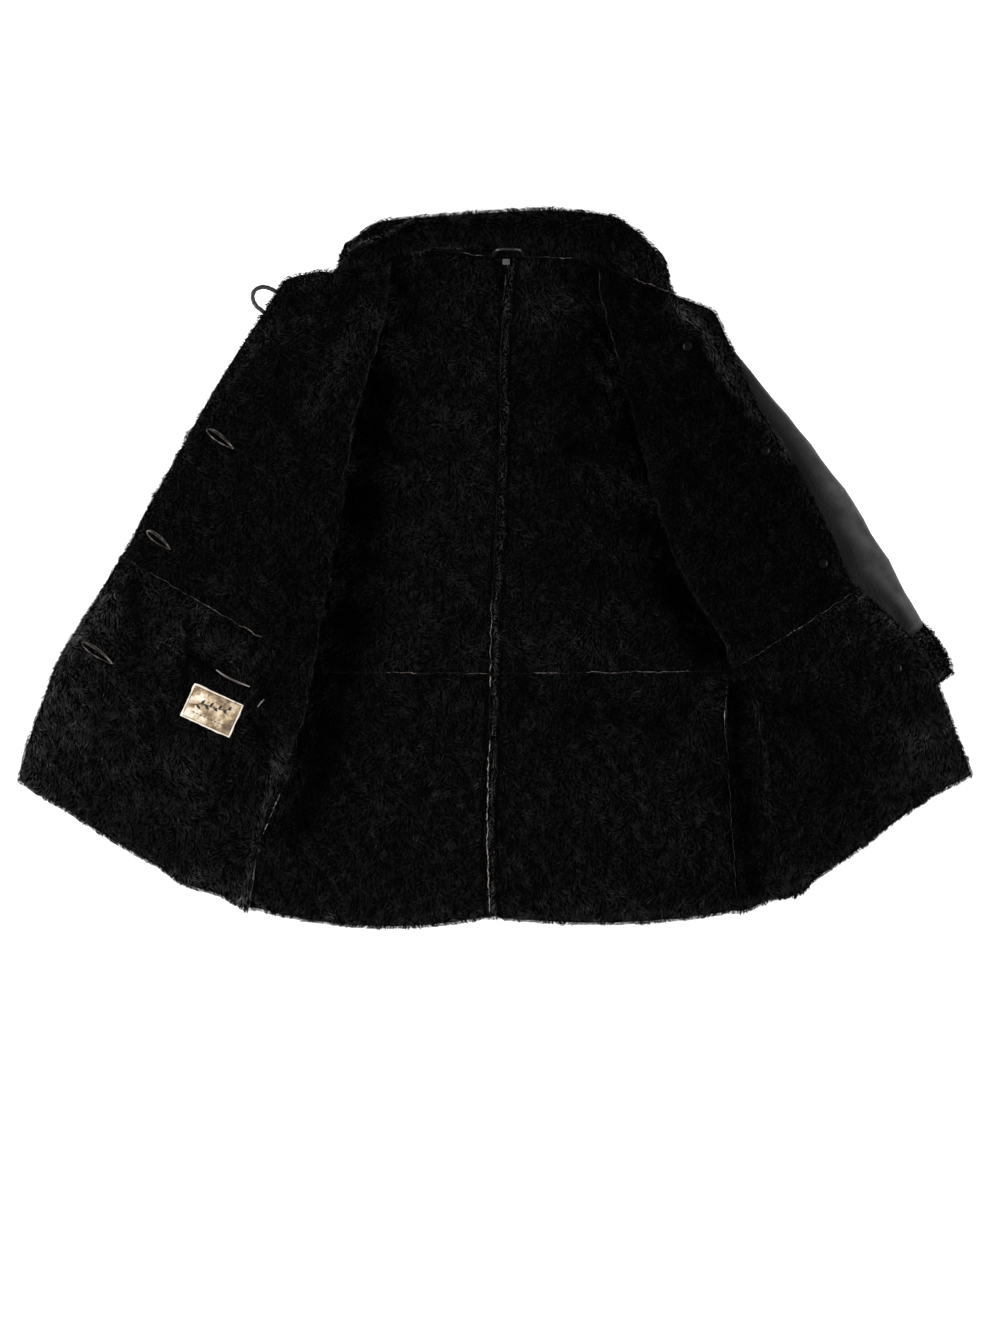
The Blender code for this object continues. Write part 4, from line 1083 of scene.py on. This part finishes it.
def build_seams():
    """Under each seam a tape of underwool that closes it, and on it the cut edge of the skin."""
    for number, (first, second) in enumerate(SEAMS):
        name = "seam_%s_%s" % (first, second)
        stacked = seam_path(first, second, True)
        if stacked is not None:
            add_piece(name + "_wall", *tube(stacked[0], UP, 1.0 * MM, 9.0 * MM), [underwool],
                      "pile_black")
        found = seam_path(first, second, False)
        if found is None:
            continue
        path, up = found
        add_piece(name + "_tape", *tube(path - up * (PILE_FREE + 0.6 * MM), up, 2.8 * MM, 0.8 * MM),
                  [underwool], "pile_black")
        spans = np.linspace(0, len(path) - 1, 3 * len(path))
        fine, fine_up = (np.stack([np.interp(spans, np.arange(len(path)), column)
                                   for column in rows.T], axis=1) for rows in (path, up))
        fine_up = unit(fine_up)
        across = unit(np.cross(unit(np.gradient(fine, axis=0)), fine_up))
        tone = np.clip(bare_tone(first, second, fine), 0.02, 1.0)
        wobble = 0.5 * MM * ripple(fine, 14 * MM, 61 + number)
        wobble += 0.25 * MM * ripple(fine, 5 * MM, 81 + number)
        fine = fine + across * wobble[:, None] - fine_up * (1.9 * MM)
        edge = tube(fine, fine_up, 0.22 * MM + 0.3 * MM * tone, 0.9 * MM, sides=6)
        add_piece(name + "_edge", *edge, [cut_skin_and_glint], "leather_black", tone=ring_tone(tone))
    for name, half_width, start, stop, corner in CORNERS:
        path = curve_through(np.array(corner) * MM, 3 * MM)
        heights = np.linspace(start, stop, len(path)) * MM
        add_piece(name, *tube(path, UP, half_width * MM, heights), [underwool], "pile_black")
    for side, line in (("right", RIGHT_FOLD), ("left", LEFT_FOLD)):
        build_fold_line(side, line)


# ---------------------------------------------------------------- trim

def height_on(surface, place):
    """Height of the surface under a place in plan."""
    hit = surface.ray_cast(Vector((place[0], place[1], 0.2)), Vector((0, 0, -1)))[0]
    return hit.z if hit is not None else None


def laid(surface, line, lift, step=1.5 * MM):
    """A line in plan, in millimetres, laid on a surface."""
    path = curve_through(np.array(line, dtype=float) * MM, step)
    heights = [height_on(surface, place) for place in path]
    known = [z for z in heights if z is not None]
    last = known[0]
    result = []
    for place, z in zip(path, heights):
        last = z if z is not None else last
        result.append((place[0], place[1], last + lift))
    result = np.array(result)
    smoothed(result[:, 2], 3)
    return result


def dress(node, material, slot, levels, unevenness, size, rim_angle=RIM_ANGLE, swell=0.0):
    """A small soft piece: its solid, smoothed and made slightly uneven."""
    form = welded(node, False)
    points, quads, _ = refined(form, node, levels, rim_angle)
    normals = vertex_normals(points, quads)
    points += normals * (swell + unevenness * ripple(points, size, 71))[:, None]
    return add_piece(node + "_dressed", points, quads, [material], slot, replaced=node)


def build_buttonhole(number, ends, surface):
    """Bulging leather lips round a dark slit, the upper one doubled."""
    start, stop = (np.array(end, dtype=float) for end in ends)
    run = stop - start
    across = np.array([-run[1], run[0]]) / np.linalg.norm(run)
    shares = np.linspace(0.0, 1.0, 25)
    swell = np.sin(math.pi * shares**0.72)**0.8
    parts = []
    tones = []
    for offset, radius, lift in ((4.8, 0.6, 0.6), (2.6, 0.5, 0.5), (-3.9, 0.62, 0.5)):
        line = start + shares[:, None] * run + across * (offset * swell)[:, None]
        path = laid(surface, line, PILE_FREE + lift * MM, step=4 * MM)
        spans = np.linspace(0, 1, len(path))
        girth = radius * MM * (0.75 + 0.25 * np.sin(math.pi * spans))
        girth = girth * (1 + 0.08 * ripple(path, 5 * MM, 90 + number))
        parts.append(tube(path, UP, girth, girth * 0.9, sides=10))
        # Painted glints: the lips' colour is lighter in random spots, as highlights
        glint = ripple(path, 9 * MM, 93 + number) + 0.6 * ripple(path, 3 * MM, 97 + number)
        tones.append(ring_tone(np.clip(0.13 + 0.15 * glint, 0.03, 0.7), 10))
    add_piece("buttonhole_%d_lips" % number, *joined(parts), [lip_leather], "cord_brown",
              replaced="buttonhole_%d" % number, tone=np.concatenate(tones))


def build_pocket(surface):
    """The inner pocket's mouth: a black lip along the slit and a tan one where it gapes."""
    line = laid(surface, POCKET_LINE, PILE_FREE - 1.4 * MM)
    add_piece("pocket_welt_lip", *tube(line, UP, 1.6 * MM, 0.7 * MM), [underwool], "trim_leather",
              replaced="pocket_welt")
    lip = laid(surface, POCKET_LIP, PILE_FREE + 0.7 * MM)
    share = np.linspace(0, 1, len(lip))
    girth = (0.55 + 0.6 * np.sin(math.pi * np.clip(share, 0.02, 0.98))**0.7) * MM
    glow = np.repeat(0.9 - 0.66 * np.sin(math.pi * share)**1.5, 8)
    add_piece("pocket_welt_edge", *tube(lip, UP, girth, girth * 0.6), [cut_skin_and_glint], "trim_leather",
              tone=np.append(glow, [0.8, 0.8]))
    tack = laid(surface, BAR_TACK, PILE_FREE + 0.3 * MM, step=1.0 * MM)
    girth = 0.75 * MM * (1 + 0.2 * ripple(tack, 4 * MM, 97))
    knot, knot_faces = tube(tack, UP, girth, girth)
    add_piece("pocket_bar_tack", knot, knot_faces, [cut_skin_and_glint], "trim_leather",
              tone=np.full(len(knot), 0.6))


def on_label(local):
    """From the label's own millimetres to the coat's."""
    return np.array(local, dtype=float) @ LABEL_AXES.T + LABEL_CENTRE


def build_label():
    """Satin label with a stitched border, and a plain sprig over a row of dashes in thread."""
    cloth = dress("label", satin, "label_satin", 3, 0.42 * MM, 11 * MM)
    surface = BVHTree.FromPolygons([v.co.copy() for v in cloth.data.vertices],
                                   [tuple(p.vertices) for p in cloth.data.polygons])
    wide, tall, pitch, stitch = 27.8, 17.8, 2.6, 1.9
    corners = np.array([(-wide, -tall), (wide, -tall), (wide, tall), (-wide, tall), (-wide, -tall)])
    stitches = []
    for start, stop in zip(corners[:-1], corners[1:]):
        length = np.linalg.norm(stop - start)
        for k in range(int(length / pitch)):
            ends = [start + (stop - start) * at / length for at in (k * pitch, k * pitch + stitch)]
            path = laid(surface, on_label(ends), 0.12 * MM, step=0.65 * MM)
            stitches.append(tube(path, UP, 0.34 * MM, 0.2 * MM, sides=6))
    add_piece("label_border_stitches", *joined(stitches), [border_thread], "label_satin")

    stem = np.array([(-22, -3), (-13, 2), (-2, 3.5), (9, 5), (20, 9.5)], dtype=float)
    dashes = [[(x, -10), (x + 2.6, -10)] for x in np.arange(-19, 17, 4.4)]
    drawn = [tube(laid(surface, on_label(line), 0.3 * MM, step=0.9 * MM), UP, 0.5 * MM, 0.2 * MM,
                  sides=6) for line in [stem] + dashes]
    for k, share in enumerate(np.linspace(0.1, 0.92, 8)):
        root = np.array([np.interp(share, np.linspace(0, 1, len(stem)), row) for row in stem.T])
        heading = math.radians(18 + (46 if k % 2 else -46))
        tip = root + np.array([math.cos(heading), math.sin(heading)]) * (7.2 - 0.3 * k)
        path = laid(surface, on_label([root, tip]), 0.3 * MM, step=0.9 * MM)
        girth = 1.5 * MM * np.sin(math.pi * np.linspace(0.06, 0.97, len(path)))
        drawn.append(tube(path, UP, girth, 0.16 * MM, sides=6))
    add_piece("label_leaf_motif", *joined(drawn), [motif_thread], "label_satin")


def build_sleeve(node):
    """A sleeve piece's leather with its wrinkles, with painted shade where the front's edge shades
    it and painted light and shade on the wrinkles.
    """
    part, side = node.rsplit("_", 1)
    form = welded(node, False)
    label_tube(form, tree_over(["sleeve_top_" + side, "sleeve_under_" + side]))
    points, quads, label = refined(form, node, 2)
    normals = vertex_normals(points, quads[label == 0])
    rise = 0.35 * MM * ripple(points, 30 * MM, 41) + 0.12 * MM * ripple(points, 11 * MM, 42)
    rise += relief(points, WRINKLES, side)
    away_from_rim = np.linalg.norm(vertex_normals(points, quads[label == 2]), axis=1) < 0.5
    points += normals * (rise * away_from_rim * (normals[:, 2] > -0.3))[:, None]
    points[:, 2] = np.maximum(points[:, 2], 0.0)
    tone = np.full(len(points), 0.5)
    # Painted shade on the left sleeve along the front's edge, which shades it
    if side == "left":
        edge = np.array(SLEEVE_SHOWS[::-1]) * MM
        past = (points[:, 0] - np.interp(points[:, 1], edge[:, 1], edge[:, 0])) * 0.85
        tone = 0.05 + 0.95 * smooth_step((past - 2 * MM) / (24 * MM))
    # Painted light on the wrinkles' ridges and painted shade in their troughs
    for which, line, half_width, height in WRINKLES:
        if which == side:
            tone *= 1 + (0.4 if height > 0 else -0.45) * beside(points, line, half_width)
    sleeve = add_piece(node + "_leather", points, quads, [sleeve_leather, underwool, underwool],
                       "leather_black", label, node, tone)


# ---------------------------------------------------------------- build

pile = pile_material()
underwool = wool_material()
outer_leather = leather_material("leather_black", (0.0042, 0.0041, 0.0043), 0.54, 420.0, 0.34)
sleeve_leather = sleeve_material()
trim_leather = leather_material("trim_leather_black", (0.004, 0.0036, 0.0036), 0.32, 900.0)
cord_leather = leather_material("cord_brown", (0.012, 0.009, 0.008), 0.42, 900.0, 0.35)
tag_cloth = leather_material("tag_black", (0.03, 0.03, 0.032), 0.5, 1500.0, 0.4)
button_finish = gloss_material("button_black", (0.002, 0.002, 0.0022), 0.12)
# Brown leather of the buttonhole lips; its tone carries painted glints
lip_leather = toned_leather("lip_leather_brown", (0.3, 0.25, 0.225), 0.42, 0.25, 1100.0, 0.2, 0.5)
# Tan cut skin at the seams and the pocket; the same material draws the painted highlight along the
# front folds
cut_skin_and_glint = toned_leather("cut_skin_and_glint_tan", (0.26, 0.22, 0.2), 0.8, 0.1, 700.0, 0.3, 0.6)
satin = satin_material()
border_thread = thread_material("border_thread", (0.045, 0.025, 0.015))
motif_thread = thread_material("motif_thread", (0.009, 0.007, 0.006))

all_cloth = tree_over(PILE_NODES + SLEEVE_NODES)
spacing = BLADE_SPACING
panels = {}
for number, node in enumerate(PILE_NODES):
    panel = Panel(node, all_cloth)
    panels[node] = panel
    panel.build_body([underwool, outer_leather, underwool])
    fur = grow_pile(panel, spacing, all_cloth, pile, 100 + number)
for node in SLEEVE_NODES:
    build_sleeve(node)
build_seams()

dress("hanger_loop", trim_leather, "trim_leather", 2, 0.12 * MM, 5 * MM, ROUND_ANGLE, 0.4 * MM)
dress("button_loop", cord_leather, "cord_brown", 2, 0.15 * MM, 4 * MM, ROUND_ANGLE, 0.9 * MM)
dress("size_tag", tag_cloth, "tag_black", 3, 0.1 * MM, 6 * MM)
for number, ends in enumerate(BUTTONHOLES, start=1):
    carrier = FLR if number == 3 else FUR
    build_buttonhole(number, ends, panels[carrier].surface())
build_pocket(panels[FLR].surface())
build_label()
for number in range(1, 5):
    for kind in ("stay_button_", "outer_button_"):
        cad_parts[kind + str(number)].material_slots[0].material = button_finish


# ---------------------------------------------------------------- floor, lights and camera

def build_floor():
    mesh = bpy.data.meshes.new("floor")
    corners = [(x * FLOOR_REACH, y * FLOOR_REACH, 0)
               for x, y in ((-1, -1), (1, -1), (1, 1), (-1, 1))]
    mesh.from_pydata(corners, [], [(0, 1, 2, 3)])
    material, _, shader = new_material("floor_white", 0.9, 0.1)
    shader.inputs["Base Color"].default_value = (0.86, 0.86, 0.86, 1.0)
    shader.inputs["Emission Color"].default_value = (1.0, 1.0, 1.0, 1.0)
    shader.inputs["Emission Strength"].default_value = 0.5
    mesh.materials.append(material)
    floor = bpy.data.objects.new("floor", mesh)
    floor.location.z = -FLOOR_DROP
    bpy.context.scene.collection.objects.link(floor)


def add_light(name, place, target, size, power):
    data = bpy.data.lights.new(name, "AREA")
    data.shape = "RECTANGLE"
    data.size, data.size_y = size
    data.energy = power
    lamp = bpy.data.objects.new(name, data)
    lamp.location = place
    lamp.rotation_mode = "QUATERNION"
    lamp.rotation_quaternion = (Vector(target) - Vector(place)).to_track_quat("-Z", "Y")
    bpy.context.scene.collection.objects.link(lamp)


def build_lights():
    """Two large softboxes, low at the sides, in a studio that looks pale but lights little."""
    add_light("softbox_left", (-2.9, -0.2, 1.9), (0, -0.1, 0), (2.4, 3.6), 235)
    add_light("softbox_right", (3.0, 0.1, 1.9), (0, 0, 0), (2.4, 3.6), 215)
    world = bpy.data.worlds.new("studio")
    world.use_nodes = True
    tree = world.node_tree
    ray = add_node(tree, "ShaderNodeLightPath")
    strength = range_node(tree, ray.outputs["Is Camera Ray"], 0.0, 1.0, 0.08, 0.95)
    background = tree.nodes["Background"]
    background.inputs["Color"].default_value = (1.0, 1.0, 1.0, 1.0)
    tree.links.new(strength, background.inputs["Strength"])
    bpy.context.scene.world = world


def build_camera():
    """Straight down, framed as the photograph: the coat's middle is at its own pixel."""
    data = bpy.data.cameras.new("camera")
    data.sensor_fit = "AUTO"
    data.sensor_width = SENSOR_WIDTH
    tall = PHOTO_HEIGHT * MM_PER_PIXEL * MM
    data.lens = SENSOR_WIDTH * CAMERA_DISTANCE / tall
    camera = bpy.data.objects.new("camera", data)
    across = (PHOTO_WIDTH / 2 - COAT_CENTRE_PIXEL[0]) * MM_PER_PIXEL * MM
    down = (PHOTO_HEIGHT / 2 - COAT_CENTRE_PIXEL[1]) * MM_PER_PIXEL * MM
    camera.location = (across, -down, CAMERA_DISTANCE)
    bpy.context.scene.collection.objects.link(camera)
    bpy.context.scene.camera = camera


build_floor()
build_lights()
build_camera()
bpy.context.scene.view_settings.view_transform = "Standard"
